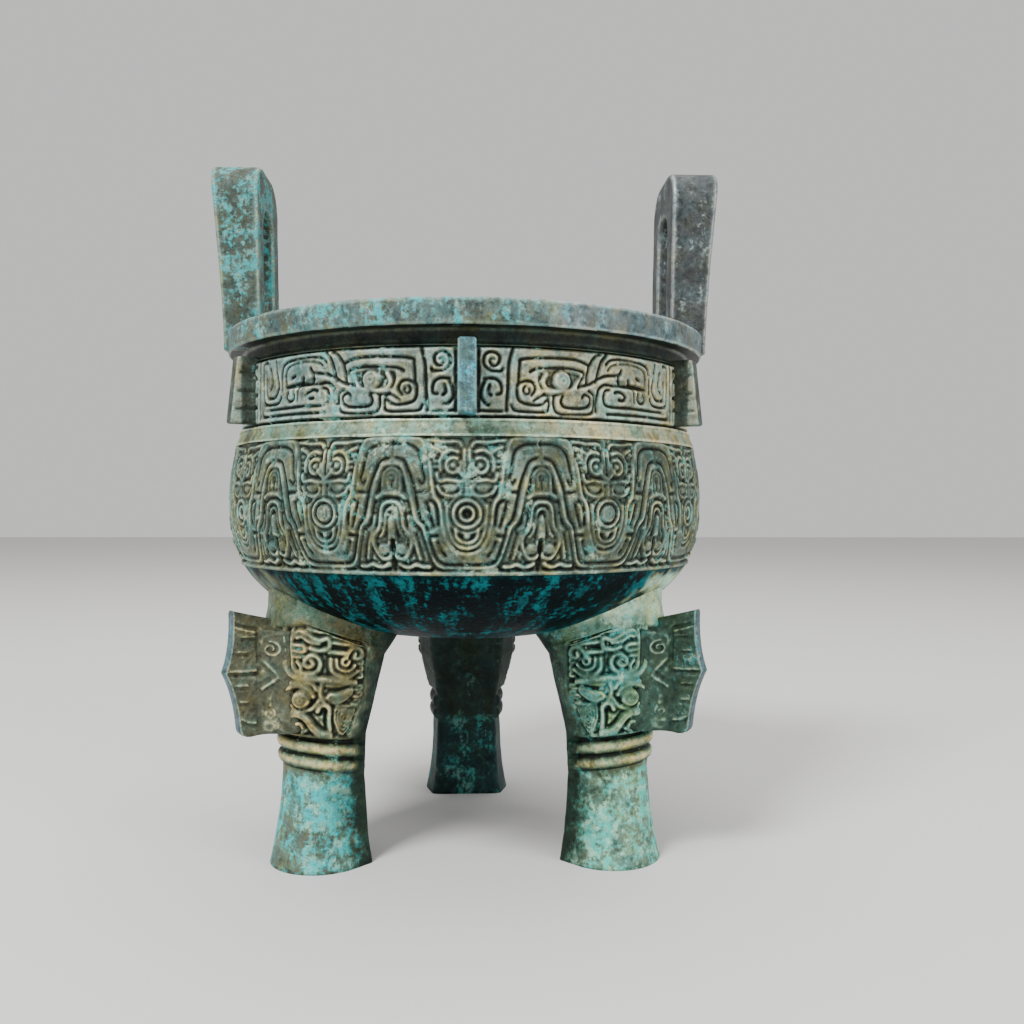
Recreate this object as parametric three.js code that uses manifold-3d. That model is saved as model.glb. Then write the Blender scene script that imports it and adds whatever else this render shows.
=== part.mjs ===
// A round bronze ding: a tripod cauldron cast in one piece. Millimetres, +Z up.
// An open bowl stands on three D-shaped legs. Each leg wears a beast mask with a tall fin, and two arched
// handles rise from the rim. Two friezes run round the bowl, and six short flanges divide the upper one.
// The origin is on the floor, on the bowl's own axis. The handles are at +X and -X, and -Y is the front.
import * as THREE from "three";
import { mergeVertices } from "three/addons/utils/BufferGeometryUtils.js";
import Module from "manifold-3d";

const wasm = await Module();
wasm.setup();

const HEIGHT = 300; // floor to the tops of the handles
const TURN_STEPS = 48; // facets round the bowl
const EMBED = 2; // how deep a raised piece is sunk in what carries it
const LONGEST_EDGE = 22; // longer edges of a raised piece are divided, so that it follows its wall

const RIM = { outer: 106.5, inner: 91, bottom: 214.3, top: 224.2, bevel: 0.8 };
const NECK = { radius: 98.6, inner: 94.6 };
const BAND = { bottom: 174.6, top: 181.2, low: 103.4, high: 101.6 }; // the plain band between the friezes
const UPPER = { top: 207.6, floor: 99.2, proud: 1.4 }; // the upper frieze stands on the plain band
const LOWER = { bottom: 124.1, floor: 1.6, lip: 0.7, lipHeight: 1.5 }; // the lower one hangs from it
const BELLY = { radius: 105.8, height: 152, depth: 60.6, power: 2.55, shoulder: 2.9 };
const BOWL_WALL = 4.8;

const FLANGE = { count: 6, thick: 6.7, bottom: 182.4, top: 209.6, low: 111, high: 108 };
const FLANGE_GROOVES = [190.5, 201.5];
const GROOVE = { wide: 0.9, deep: 0.8 };

const UPPER_UNITS = 6; // half masks, mirrored in pairs
const LOWER_UNITS = 12; // waves, each between two hanging eyes

const HANDLE = { halfWidth: 23.4, openingHalf: 11.4, bottom: 217, crown: 283, shoulder: 16 };
const HANDLE_DEPTH = { innerLow: 89.4, innerHigh: 91, outerLow: 105.6, outerHigh: 112.4, flare: 1.4 };

const LEG_ANGLES = [210, 330, 90];
const LEG_AXIS = 74;
// D-shaped sections of a leg: how far its flat inner side and its outermost point are from the bowl's axis,
// and half its width. A section leans where its outer side stands higher than its inner one. The last
// section is as high as the middle of the bowl's wall.
const LEG = [
  { z: 0, inner: 53.4, outer: 92.4, half: 21.3 },
  { z: 11, inner: 55, outer: 90.1, half: 19.3 },
  { z: 38, inner: 56.5, outer: 87, half: 17.7 },
  { z: 86, inner: 49.5, outer: 91.6, half: 21.2 },
  { z: 140, inner: 42, outer: 92.6, half: 24.5 },
];
const MASK = [
  { z: 56, inner: 62, outer: 93.4, half: 21, lean: 0.1 },
  { z: 69.5, inner: 61, outer: 94.4, half: 24 },
  { z: 71.5, inner: 58.6, outer: 95, half: 25.6 },
  { z: 97.5, inner: 57.6, outer: 95.4, half: 26.6 },
  { z: 102.5, inner: 60, outer: 91.6, half: 23 },
];
const RING = { inner: 58.5, proud: 2.5, edge: 0.3, lean: 0.15 };
const RINGS = [
  { z: 43.3, half: 2.7 },
  { z: 49.7, half: 2.9 },
];
const LEG_SIDES = 11;
const FIN = { thick: 7, root: 78, top: 107, topRadius: 110.4, cusp: 82, cuspRadius: 113.4 };
const FIN_FOOT = { z: 55, radius: 107.2, corner: 4.5 };
const NOSE = { thick: 10, radius: 99.5, bottom: 58, top: 100 };
// Flat outlines of the larger carving, as [along, height]. On the bowl, along is the arc at the rim's radius.
const WAVE = { foot: 1.5, knee: 21, neck: 40, crown: 49, eye: 22.5, eyeRadius: 5, eyeProud: 0.8 };
const WAVE_LIMB = { foot: [17.4, 20.5], knee: [9, 17], neck: [3.6, 13.6], crown: 12 };
const HALF_MASK = { margin: 1, thick: 4.4, eye: [37.5, 194], eyeRadius: 3.4 };
const MASK_LIP = [
  [30, 55],
  [20, 64.5],
  [13, 63.5],
  [7, 58],
  [9.5, 57],
  [17, 61.5],
  [26, 54],
];
const MASK_PROUD = { lip: 1.8, eye: 2.6, rest: 1.6 };

const BRONZE = new THREE.MeshStandardMaterial({ color: 0x3f5f58, roughness: 0.62, metalness: 0.55 });

const radians = THREE.MathUtils.degToRad;
const mix = THREE.MathUtils.lerp;
const point = (x, y) => new THREE.Vector2(x, y);

/** The closed solid of a three.js geometry. A mirrored geometry has its faces turned round. */
function solidOf(geometry, mirrored = false) {
  const bare = geometry.clone();
  bare.deleteAttribute("normal");
  bare.deleteAttribute("uv");
  const merged = mergeVertices(bare, 1e-4);
  const corners = new Uint32Array(merged.index.array);
  return new wasm.Manifold(
    new wasm.Mesh({
      numProp: 3,
      vertProperties: new Float32Array(merged.attributes.position.array),
      triVerts: mirrored ? corners.reverse() : corners,
    }),
  );
}

/** The three.js geometry of a solid. */
function geometryOf(solid) {
  const mesh = solid.getMesh();
  const positions = new Float32Array(mesh.numVert * 3);
  for (let i = 0; i < mesh.numVert; i++) {
    positions.set(mesh.vertProperties.subarray(i * mesh.numProp, i * mesh.numProp + 3), i * 3);
  }
  const geometry = new THREE.BufferGeometry();
  geometry.setAttribute("position", new THREE.BufferAttribute(positions, 3));
  geometry.setIndex(new THREE.BufferAttribute(new Uint32Array(mesh.triVerts), 1));
  geometry.computeVertexNormals();
  return geometry;
}

/** Moves every vertex of a geometry to where place(x, y, z) says. */
function reshape(geometry, place) {
  const position = geometry.attributes.position;
  for (let i = 0; i < position.count; i++) {
    position.setXYZ(i, ...place(position.getX(i), position.getY(i), position.getZ(i)));
  }
  return geometry;
}

/** Points of a superellipse, the bowl's rounded underside, from the axis out to a height. */
function underside(steps, endZ, inset) {
  const across = BELLY.radius - inset;
  const deep = BELLY.depth - inset;
  const end = Math.acos(((BELLY.height - endZ) / deep) ** (BELLY.power / 2));
  return Array.from({ length: steps + 1 }, (_, i) => {
    const turn = (end * i) / steps;
    const out = across * Math.sin(turn) ** (2 / BELLY.power);
    return point(out, BELLY.height - deep * Math.cos(turn) ** (2 / BELLY.power));
  });
}

/** The height of the middle of the bowl's wall above a radius of its underside. */
function wallMiddle(radius) {
  const across = Math.min(1, radius / (BELLY.radius - BOWL_WALL / 2)) ** BELLY.power;
  return BELLY.height - (BELLY.depth - BOWL_WALL / 2) * (1 - across) ** (1 / BELLY.power);
}

/** The radius of the lower frieze's ground at a height. */
function lowerGround(z) {
  const off = (z - BELLY.height) / (z > BELLY.height ? BAND.bottom - BELLY.height : BELLY.depth);
  const skin =
    off > 0
      ? BELLY.radius - BELLY.shoulder * off ** 2
      : BELLY.radius * (1 - (-off) ** BELLY.power) ** (1 / BELLY.power);
  return skin - LOWER.floor;
}

/** The bowl with its rim, turned in one piece. */
function bowl() {
  const outside = underside(5, LOWER.bottom, 0);
  const lip = outside.at(-1).x + LOWER.lip;
  const groundHeights = [LOWER.bottom + LOWER.lipHeight, mix(LOWER.bottom, BELLY.height, 0.75), BAND.bottom];
  const ground = groundHeights.map((z) => point(lowerGround(z), z));
  const inside = underside(4, BELLY.height - 12, BOWL_WALL).reverse();
  const profile = [
    ...outside,
    point(lip, LOWER.bottom),
    point(lip, LOWER.bottom + LOWER.lipHeight),
    ...ground,
    point(BAND.low, BAND.bottom),
    point(BAND.high, BAND.top - 0.8),
    point(UPPER.floor, BAND.top),
    point(UPPER.floor, UPPER.top),
    point(NECK.radius, UPPER.top + 0.6),
    point(NECK.radius, RIM.bottom),
    point(RIM.outer - RIM.bevel, RIM.bottom),
    point(RIM.outer, RIM.bottom + RIM.bevel),
    point(RIM.outer, RIM.top - RIM.bevel),
    point(RIM.outer - RIM.bevel, RIM.top),
    point(RIM.inner, RIM.top),
    point(RIM.inner, RIM.bottom + 3),
    point(NECK.inner, RIM.bottom - 2),
    point(NECK.inner, BAND.top),
    point(BELLY.radius - LOWER.floor - BOWL_WALL, BELLY.height + 12),
    ...inside,
  ];
  return solidOf(new THREE.LatheGeometry(profile, TURN_STEPS).rotateX(Math.PI / 2));
}

/** A closed outline with its long edges divided. */
function divided(points) {
  return points.flatMap((from, i) => {
    const to = points[(i + 1) % points.length];
    const parts = Math.ceil(from.distanceTo(to) / LONGEST_EDGE);
    return Array.from({ length: parts }, (_, k) => from.clone().lerp(to, k / parts));
  });
}

/** A flat shape from corners given as [x, y]. */
function shapeOf(corners) {
  return new THREE.Shape(divided(corners.map(([x, y]) => point(x, y))));
}

/** An upright rectangle. */
function bar(x0, y0, x1, y1) {
  return shapeOf([
    [x0, y0],
    [x1, y0],
    [x1, y1],
    [x0, y1],
  ]);
}

/** A round boss. */
function disc(x, y, radius) {
  return new THREE.Shape().absarc(x, y, radius, 0, 2 * Math.PI, false);
}

/** A flat shape raised off a wall. Its x runs along the wall, its y is the height, and place(x, y, off)
 * gives the point that stands off the wall by that much. */
function raised(shape, proud, place, mirrored) {
  const slab = new THREE.ExtrudeGeometry(shape, {
    depth: proud + EMBED,
    bevelEnabled: false,
    curveSegments: 3,
  });
  const placed = reshape(slab, (x, y, z) => place(x, y, z - EMBED));
  return solidOf(placed, mirrored);
}

/** Where a raised piece of a frieze goes, counted from an angle in degrees towards one side. */
function onBowl(angle, side, groundAt) {
  return (x, z, off) => {
    const radius = groundAt(z) + off;
    const turn = radians(angle) + (side * x) / RIM.outer;
    return [radius * Math.cos(turn), radius * Math.sin(turn), z];
  };
}

/** The larger carving of the lower frieze: a steep wave with a hanging eye in each trough. */
function lowerFrieze() {
  const above = (height) => LOWER.bottom + height;
  const opposite = (side, [from, to]) => (side > 0 ? [from, to] : [-to, -from]);
  const limb = (low, high, [innerLow, outerLow], [innerHigh, outerHigh]) =>
    shapeOf([
      [innerLow, above(low)],
      [outerLow, above(low)],
      [outerHigh, above(high)],
      [innerHigh, above(high)],
    ]);
  const limbs = [-1, 1].flatMap((side) => {
    const widths = [WAVE_LIMB.foot, WAVE_LIMB.knee, WAVE_LIMB.neck];
    const [foot, knee, neck] = widths.map((ends) => opposite(side, ends));
    return [limb(WAVE.foot, WAVE.knee, foot, knee), limb(WAVE.knee, WAVE.neck, knee, neck)];
  });
  const shoulder = WAVE_LIMB.neck[1];
  const crown = limb(WAVE.neck, WAVE.crown, [-shoulder, shoulder], [-WAVE_LIMB.crown, WAVE_LIMB.crown]);
  const eye = disc(0, above(WAVE.eye), WAVE.eyeRadius);
  return Array.from({ length: LOWER_UNITS }, (_, unit) => {
    const eyeAngle = -90 + (unit * 360) / LOWER_UNITS;
    const overEye = onBowl(eyeAngle, 1, lowerGround);
    const between = onBowl(eyeAngle + 180 / LOWER_UNITS, 1, lowerGround);
    const wave = [...limbs, crown].map((part) => raised(part, LOWER.floor, between));
    return [raised(eye, LOWER.floor + WAVE.eyeProud, overEye), ...wave];
  }).flat();
}

/** The larger carving of the upper frieze: six half masks, each with a column, an eye and a hooked body. */
function upperFrieze() {
  const low = BAND.top + HALF_MASK.margin;
  const high = UPPER.top - HALF_MASK.margin;
  const { thick } = HALF_MASK;
  const brow = [
    [17, low + 6],
    [21, low + 6],
    [21, high - thick],
    [48, high - thick],
    [48, high],
    [17, high],
  ];
  const body = [
    [54, low],
    [54, high],
    [94, high],
    [94, high - thick],
    [66, high - thick],
    [66, low + thick],
    [94, low + thick],
    [94, low],
  ];
  const shapes = [
    bar(4, low, 14, high),
    shapeOf(brow),
    disc(...HALF_MASK.eye, HALF_MASK.eyeRadius),
    shapeOf(body),
    bar(72, 191, 79, high - thick + 1),
  ];
  const pieces = [];
  for (let unit = 0; unit < UPPER_UNITS; unit++) {
    const side = unit % 2 ? -1 : 1;
    const place = onBowl(-90 + Math.ceil(unit / 2) * 120, side, () => UPPER.floor);
    pieces.push(...shapes.map((shape) => raised(shape, UPPER.proud, place, side < 0)));
  }
  return pieces;
}

/** One flange of the upper frieze, along +X, with grooves across its sides. */
function flange() {
  const root = UPPER.floor - EMBED;
  const outline = new THREE.Shape([
    point(root, FLANGE.bottom),
    point(FLANGE.low, FLANGE.bottom),
    point(FLANGE.high, FLANGE.top),
    point(root, FLANGE.top),
  ]);
  const slab = new THREE.ExtrudeGeometry(outline, { depth: FLANGE.thick, bevelEnabled: false });
  slab.translate(0, 0, -FLANGE.thick / 2).rotateX(Math.PI / 2);
  let cut = solidOf(slab);
  for (const z of FLANGE_GROOVES) {
    for (const side of [-1, 1]) {
      const groove = new THREE.BoxGeometry(16, GROOVE.deep * 2, GROOVE.wide);
      cut = cut.subtract(solidOf(groove.translate(FLANGE.high, (side * FLANGE.thick) / 2, z)));
    }
  }
  return cut;
}

/** One handle, at +X: an arch with an arched opening, thicker towards its top. */
function handle() {
  const { halfWidth, openingHalf, shoulder } = HANDLE;
  const upright = (y, from, to) => Array.from({ length: 4 }, (_, i) => point(y, mix(from, to, i / 3)));
  const arc = (y, z, radius, from, to, steps) =>
    Array.from({ length: steps + 1 }, (_, i) => {
      const turn = radians(mix(from, to, i / steps));
      return point(y + radius * Math.cos(turn), z + radius * Math.sin(turn));
    });
  const shoulderZ = HEIGHT - shoulder;
  const crownZ = HANDLE.crown - openingHalf;
  const shape = new THREE.Shape([
    ...upright(halfWidth, HANDLE.bottom, shoulderZ - 1),
    ...arc(halfWidth - shoulder, shoulderZ, shoulder, 0, 90, 4),
    ...arc(shoulder - halfWidth, shoulderZ, shoulder, 90, 180, 4),
    ...upright(-halfWidth, shoulderZ - 1, HANDLE.bottom),
  ]);
  const opening = [
    ...upright(openingHalf, RIM.top, crownZ - 1),
    ...arc(0, crownZ, openingHalf, 0, 180, 8),
    ...upright(-openingHalf, crownZ - 1, RIM.top),
  ];
  shape.holes.push(new THREE.Path(opening));
  const slab = new THREE.ExtrudeGeometry(shape, { depth: 1, bevelEnabled: false });
  const { innerLow, innerHigh, outerLow, outerHigh, flare } = HANDLE_DEPTH;
  return solidOf(
    reshape(slab, (y, z, through) => {
      const rise = (z - HANDLE.bottom) / (HEIGHT - HANDLE.bottom);
      const inner = mix(innerLow, innerHigh, rise);
      const outer = mix(outerLow, outerHigh, rise ** flare);
      return [mix(inner, outer, through), y, z];
    }),
  );
}

/** A column of D-shaped sections beside the axis, with its round side towards +X. */
function column(sections) {
  const spans = sections.length - 1;
  const tube = new THREE.CylinderGeometry(1, 1, spans, LEG_SIDES, spans);
  tube.rotateX(Math.PI / 2).rotateZ(Math.PI / 2);
  const corner = Math.PI * (1 - 1.5 / LEG_SIDES);
  return solidOf(
    reshape(tube, (c, s, level) => {
      const { z, inner, outer, half, lean = 0 } = sections[Math.round(level + spans / 2)];
      const turn = Math.atan2(s, c);
      const centre = outer - half;
      let [x, y] = [(inner + outer) / 2, 0];
      if (Math.hypot(c, s) > 0.5) {
        const onFlat = Math.abs(turn) > corner;
        x = onFlat ? inner : centre + half * Math.cos(turn * 0.72);
        y = half * (onFlat ? 0.9 * Math.sign(s) : Math.sin(turn * 0.72));
      }
      return [x, y, Math.min(z + lean * (x - LEG_AXIS), wallMiddle(Math.hypot(x, y)))];
    }),
  );
}

/** A rounded moulding round the outer side of a leg. */
function legRing({ z, half }) {
  const rows = [-1, 0, 1].map((share) => {
    const proud = share ? RING.edge : RING.proud;
    return {
      z: z + share * half,
      inner: RING.inner,
      outer: LEG[2].outer + proud,
      half: LEG[2].half + proud,
      lean: RING.lean,
    };
  });
  return column(rows);
}

/** The fin of a leg, with its two horns and the cusp between them, and the thicker nose at its root. */
function fin() {
  const { z: footZ, radius, corner } = FIN_FOOT;
  const shape = new THREE.Shape();
  shape.moveTo(FIN.root, footZ + 3);
  shape.lineTo(MASK[0].outer, footZ + 1.5);
  shape.lineTo(radius - corner, footZ);
  shape.quadraticCurveTo(radius, footZ, radius, footZ + corner);
  shape.quadraticCurveTo(radius + 0.4, mix(footZ, FIN.cusp, 0.6), FIN.cuspRadius, FIN.cusp);
  shape.quadraticCurveTo(FIN.topRadius - 1, mix(FIN.cusp, FIN.top, 0.4), FIN.topRadius, FIN.top);
  shape.lineTo(FIN.root, FIN.top - 8);
  const slabOf = (outline, thick) => {
    const settings = { depth: thick, bevelEnabled: false, curveSegments: 4 };
    const slab = new THREE.ExtrudeGeometry(outline, settings);
    return solidOf(slab.translate(0, 0, -thick / 2).rotateX(Math.PI / 2));
  };
  const nose = bar(FIN.root, NOSE.bottom, NOSE.radius, NOSE.top);
  return slabOf(shape, FIN.thick).add(slabOf(nose, NOSE.thick));
}

/** The larger carving of a mask, on both sides of the fin: eye, lip, brow, two volutes and an ear. */
function maskCarving() {
  const shapes = [
    [shapeOf(MASK_LIP), MASK_PROUD.lip],
    [disc(20, 72.5, 4.3), MASK_PROUD.eye],
    [disc(22, 84.8, 6), MASK_PROUD.rest],
    [disc(36, 85.5, 5), MASK_PROUD.rest],
    [bar(17, 92, 31, 97), MASK_PROUD.rest],
    [bar(31, 69.5, 38, 74.5), MASK_PROUD.rest],
  ];
  const centre = MASK[2].outer - MASK[2].half;
  return [-1, 1].flatMap((side) => {
    const face = (x, z, off) => {
      const radius = MASK[2].half + off;
      const turn = (side * x) / MASK[2].half;
      return [centre + radius * Math.cos(turn), radius * Math.sin(turn), z];
    };
    return shapes.map(([shape, proud]) => raised(shape, proud, face, side < 0));
  });
}

/** One leg, along +X. Its top ends inside the bowl's wall. */
function leg() {
  const rings = RINGS.map(legRing);
  return wasm.Manifold.union([column(LEG), column(MASK), fin(), ...rings, ...maskCarving()]);
}

/** A solid turned about the bowl's axis by an angle in degrees. */
const turned = (solid, angle) => solid.rotate([0, 0, angle]);

/** The whole vessel, one solid. */
function vessel() {
  const oneFlange = flange();
  const oneLeg = leg();
  const oneHandle = handle();
  const flangeAngles = Array.from({ length: FLANGE.count }, (_, i) => 30 + (i * 360) / FLANGE.count);
  const flanges = flangeAngles.map((angle) => turned(oneFlange, angle));
  const legs = LEG_ANGLES.map((angle) => turned(oneLeg, angle));
  const handles = [oneHandle, turned(oneHandle, 180)];
  const friezes = [...upperFrieze(), ...lowerFrieze()];
  return wasm.Manifold.union([bowl(), ...friezes, ...flanges, ...legs, ...handles]);
}

const ding = new THREE.Mesh(geometryOf(vessel()), BRONZE);
ding.name = "ding_vessel";

const group = new THREE.Group();
group.name = "bronze_ding";
group.add(ding);

export default group;
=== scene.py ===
"""A round bronze ding: a cauldron on three masked legs, with two cast friezes and a worn green patina, with
some highlights and shade painted in.

Lengths are millimetres until a mesh is made. The front is -Y, and the handles are at +X and -X.
"""

import math

import bmesh
import bpy
import numpy as np
from mathutils import Matrix, Vector


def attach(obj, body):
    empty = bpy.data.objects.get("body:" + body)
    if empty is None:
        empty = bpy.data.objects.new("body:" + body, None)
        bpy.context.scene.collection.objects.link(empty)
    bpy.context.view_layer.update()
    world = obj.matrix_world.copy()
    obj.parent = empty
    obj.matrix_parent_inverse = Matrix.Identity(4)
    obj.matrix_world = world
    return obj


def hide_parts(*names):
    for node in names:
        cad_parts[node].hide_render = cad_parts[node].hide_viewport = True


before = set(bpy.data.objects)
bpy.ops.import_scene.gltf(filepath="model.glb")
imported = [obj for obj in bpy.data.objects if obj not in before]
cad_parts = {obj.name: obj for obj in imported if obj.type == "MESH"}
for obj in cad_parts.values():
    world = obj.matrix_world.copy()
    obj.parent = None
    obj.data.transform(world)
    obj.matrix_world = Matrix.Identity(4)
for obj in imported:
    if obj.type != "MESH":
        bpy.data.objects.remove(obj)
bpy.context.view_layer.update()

bl_info = {
    "name": "Bronze ding",
    "version": (1, 0, 0),
    "blender": (4, 5, 0),
    "location": "3D Viewport > Sidebar > Ding",
    "description": "Builds a cast bronze ding with carved friezes, masked legs and a worn green patina",
    "category": "Add Mesh",
}

NODE = "ding_vessel"
BODY = "root"
MM = 0.001
HEIGHT = 300.0

# The bowl: radii and heights of its parts.
RIM = {"outer": 106.4, "inner": 91.0, "bottom": 214.3, "top": 224.1}
NECK = {"radius": 98.7, "inner": 94.6}
BAND = {"bottom": 174.6, "top": 181.2, "low": 103.3, "high": 101.5}
UPPER = {"bottom": 181.2, "top": 207.6, "tall": 26.4, "skin": 100.6, "core": 98.2, "back": 97.2}
LOWER = {"bottom": 124.1, "top": 174.6, "tall": 50.5, "core": 3.4, "back": 4.1}
BELLY = {"radius": 105.8, "height": 152.0, "depth": 60.6, "power": 2.55, "shoulder": 2.9}
BOWL_WALL = 4.8
UPPER_MASKS = 3
LOWER_WAVES = 12

FLANGE = {"half": 3.35, "root": 97.0, "bottom": 182.4, "top": 209.5, "low": 110.8, "high": 107.9}
FLANGE_GROOVES = (188.4, 195.6, 203.0)
FLANGE_COUNT = 6

HANDLE = {"half": 23.3, "opening": 11.4, "bottom": 217.0, "crown": 283.0, "shoulder": 14.0}
HANDLE_DEPTH = {"in_low": 89.6, "in_high": 91.1, "out_low": 105.6, "out_high": 112.3, "flare": 1.4}

LEG_ANGLES = {"left": 210.0, "right": 330.0, "back": 90.0}
LEG_AXIS = 74.0
ARC_RADIUS = 26.0
ARC_REACH = 108.0
# Height, outermost radius and half width of a leg's round side, from the sole up into the bowl.
LEG_ROUND = (
    (0, 92.3, 21.2), (3, 91.6, 20.5), (11, 90.0, 19.2), (24, 88.0, 18.0), (38, 86.9, 17.5),
    (53.6, 87.5, 17.6),
    (55.2, 93.2, 20.8), (69.6, 94.4, 24.2), (73, 94.8, 25.3), (97.5, 95.0, 26.2), (103, 93.8, 25.3),
    (112, 92.9, 24.9), (140, 93.0, 26.0),
)
# Height, radius and half width of its flat inner side.
LEG_FLAT = (
    (0, 54.4, 17.2), (11, 55.8, 15.6), (38, 57.2, 14.6), (56, 56.4, 15.2), (86, 49.8, 18.6),
    (140, 42.0, 22.5),
)
RINGS = ((43.3, 2.7), (49.7, 2.9))
RING_RISE = 2.0
# How far the leg's rings and the mask's lower edge rise towards the outside, by height.
LEG_LEAN = ((0, 0), (34, 0), (40, 0.15), (52, 0.15), (57, 0.1), (72, 0))
CARVED_FROM, CARVED_TO, CARVED_PITCH = 38.0, 103.2, 0.48

FIN = {"half": 3.4, "root": 80.0, "top": 106.9, "foot": 55.1}
FIN_EDGE = ((107.0, 55.1), (107.6, 71.0), (113.2, 82.0), (109.4, 92.0), (110.2, 106.9))
FIN_CORNER = 4.2
NOSE = {"radius": 99.5, "extra": 1.2, "spread": 1.04, "bottom": 57.5, "top": 98.5}

# How finely each casting is meshed: columns round it or along it, then rows up it.
BOWL_COLUMNS = 240
BOWL_LONGEST_EDGE = 3.8
UPPER_COLUMNS, UPPER_ROWS = 236, 60
LOWER_COLUMNS, LOWER_ROWS = 56, 102
MASK_COLUMNS = 114
FIN_COLUMNS, FIN_ROWS = 62, 100

# The stage, in metres: half the floor's side, the lamps and the camera.
FLOOR_HALF = 4.0
ROOM_COLOUR = (0.93, 0.92, 0.91, 1)
ROOM_STRENGTH = 0.78
# Each lamp's name, place, aim, size and power.
LAMPS = (
    ("key", (-0.9, -1.15, 1.75), (0, 0, 0.15), 0.6, 62),
    ("fill", (1.3, -1.1, 0.9), (0, 0, 0.15), 0.9, 16),
    ("top", (0.1, 0.3, 1.9), (0, 0, 0.1), 1.3, 20),
)
CAMERA_PLACE = (0.0, -0.460, 0.1503)
CAMERA_TURN = (math.pi / 2 - 0.0083, -0.0017, -0.0453)
CAMERA_LENS = 34.95
CAMERA_CLIP = (0.02, 20.0)


# ---------------------------------------------------------------- curves and carving


def smooth(points, steps=6):
    """A curve through a few points."""
    p = np.array([points[0], *points, points[-1]], float)
    t = np.linspace(0, 1, steps, endpoint=False)[:, None]
    parts = []
    for a, b, c, d in zip(p[:-3], p[1:-2], p[2:-1], p[3:]):
        bend = (2 * a - 5 * b + 4 * c - d) + t * (3 * b - a - 3 * c + d)
        parts.append(b + t * ((c - a) + t * bend) / 2)
    return np.vstack([*parts, p[-1:]])


def arc(cx, cy, radius, start, end, steps=16):
    """Part of a circle, in degrees."""
    turn = np.radians(np.linspace(start, end, steps))
    return np.column_stack([cx + radius * np.cos(turn), cy + radius * np.sin(turn)])


def spiral(cx, cy, outer, inner, start, turns, steps=44):
    """A spiral from its outer end inwards. Negative turns run clockwise."""
    share = np.linspace(0, 1, steps)
    turn = np.radians(start) + share * turns * 2 * math.pi
    radius = outer + (inner - outer) * share
    return np.column_stack([cx + radius * np.cos(turn), cy + radius * np.sin(turn)])


def ease(share):
    """A soft step from 0 to 1."""
    share = np.clip(share, 0, 1)
    return share * share * (3 - 2 * share)


def mix(a, b, share):
    return a + (b - a) * share


def reading(height, rows, column):
    """A column of a table of rows, read at a height."""
    table = np.array(rows, float)
    return np.interp(height, table[:, 0], table[:, column])


def blurred(field, cells):
    """The field averaged over a few cells each way."""
    reach = max(1, int(round(cells)))
    kernel = np.hanning(2 * reach + 3)[1:-1]
    kernel /= kernel.sum()
    for axis in (0, 1):
        pads = [(reach, reach) if a == axis else (0, 0) for a in (0, 1)]
        padded = np.pad(field, pads, mode="edge")
        field = np.apply_along_axis(np.convolve, axis, padded, kernel, mode="valid")
    return field


def lumps(points, size, seed, waves=14):
    """Smooth casting unevenness at points, about from -1 to 1, in lumps of about that size."""
    rng = np.random.default_rng(seed)
    ways = rng.normal(size=(waves, 3))
    ways /= np.linalg.norm(ways, axis=1)[:, None]
    ways *= 2 * math.pi / size * rng.uniform(0.7, 1.6, waves)[:, None]
    phase = rng.uniform(0, 2 * math.pi, waves)
    return np.sin(points @ ways.T + phase).sum(axis=-1) / math.sqrt(waves)


def wander(places, broad, fine, seed):
    """How a plain cast wall wanders at places: broad lumps with finer ones over them."""
    return lumps(places, broad, seed) * 0.6 + lumps(places, fine, seed + 1) * 0.4


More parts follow.
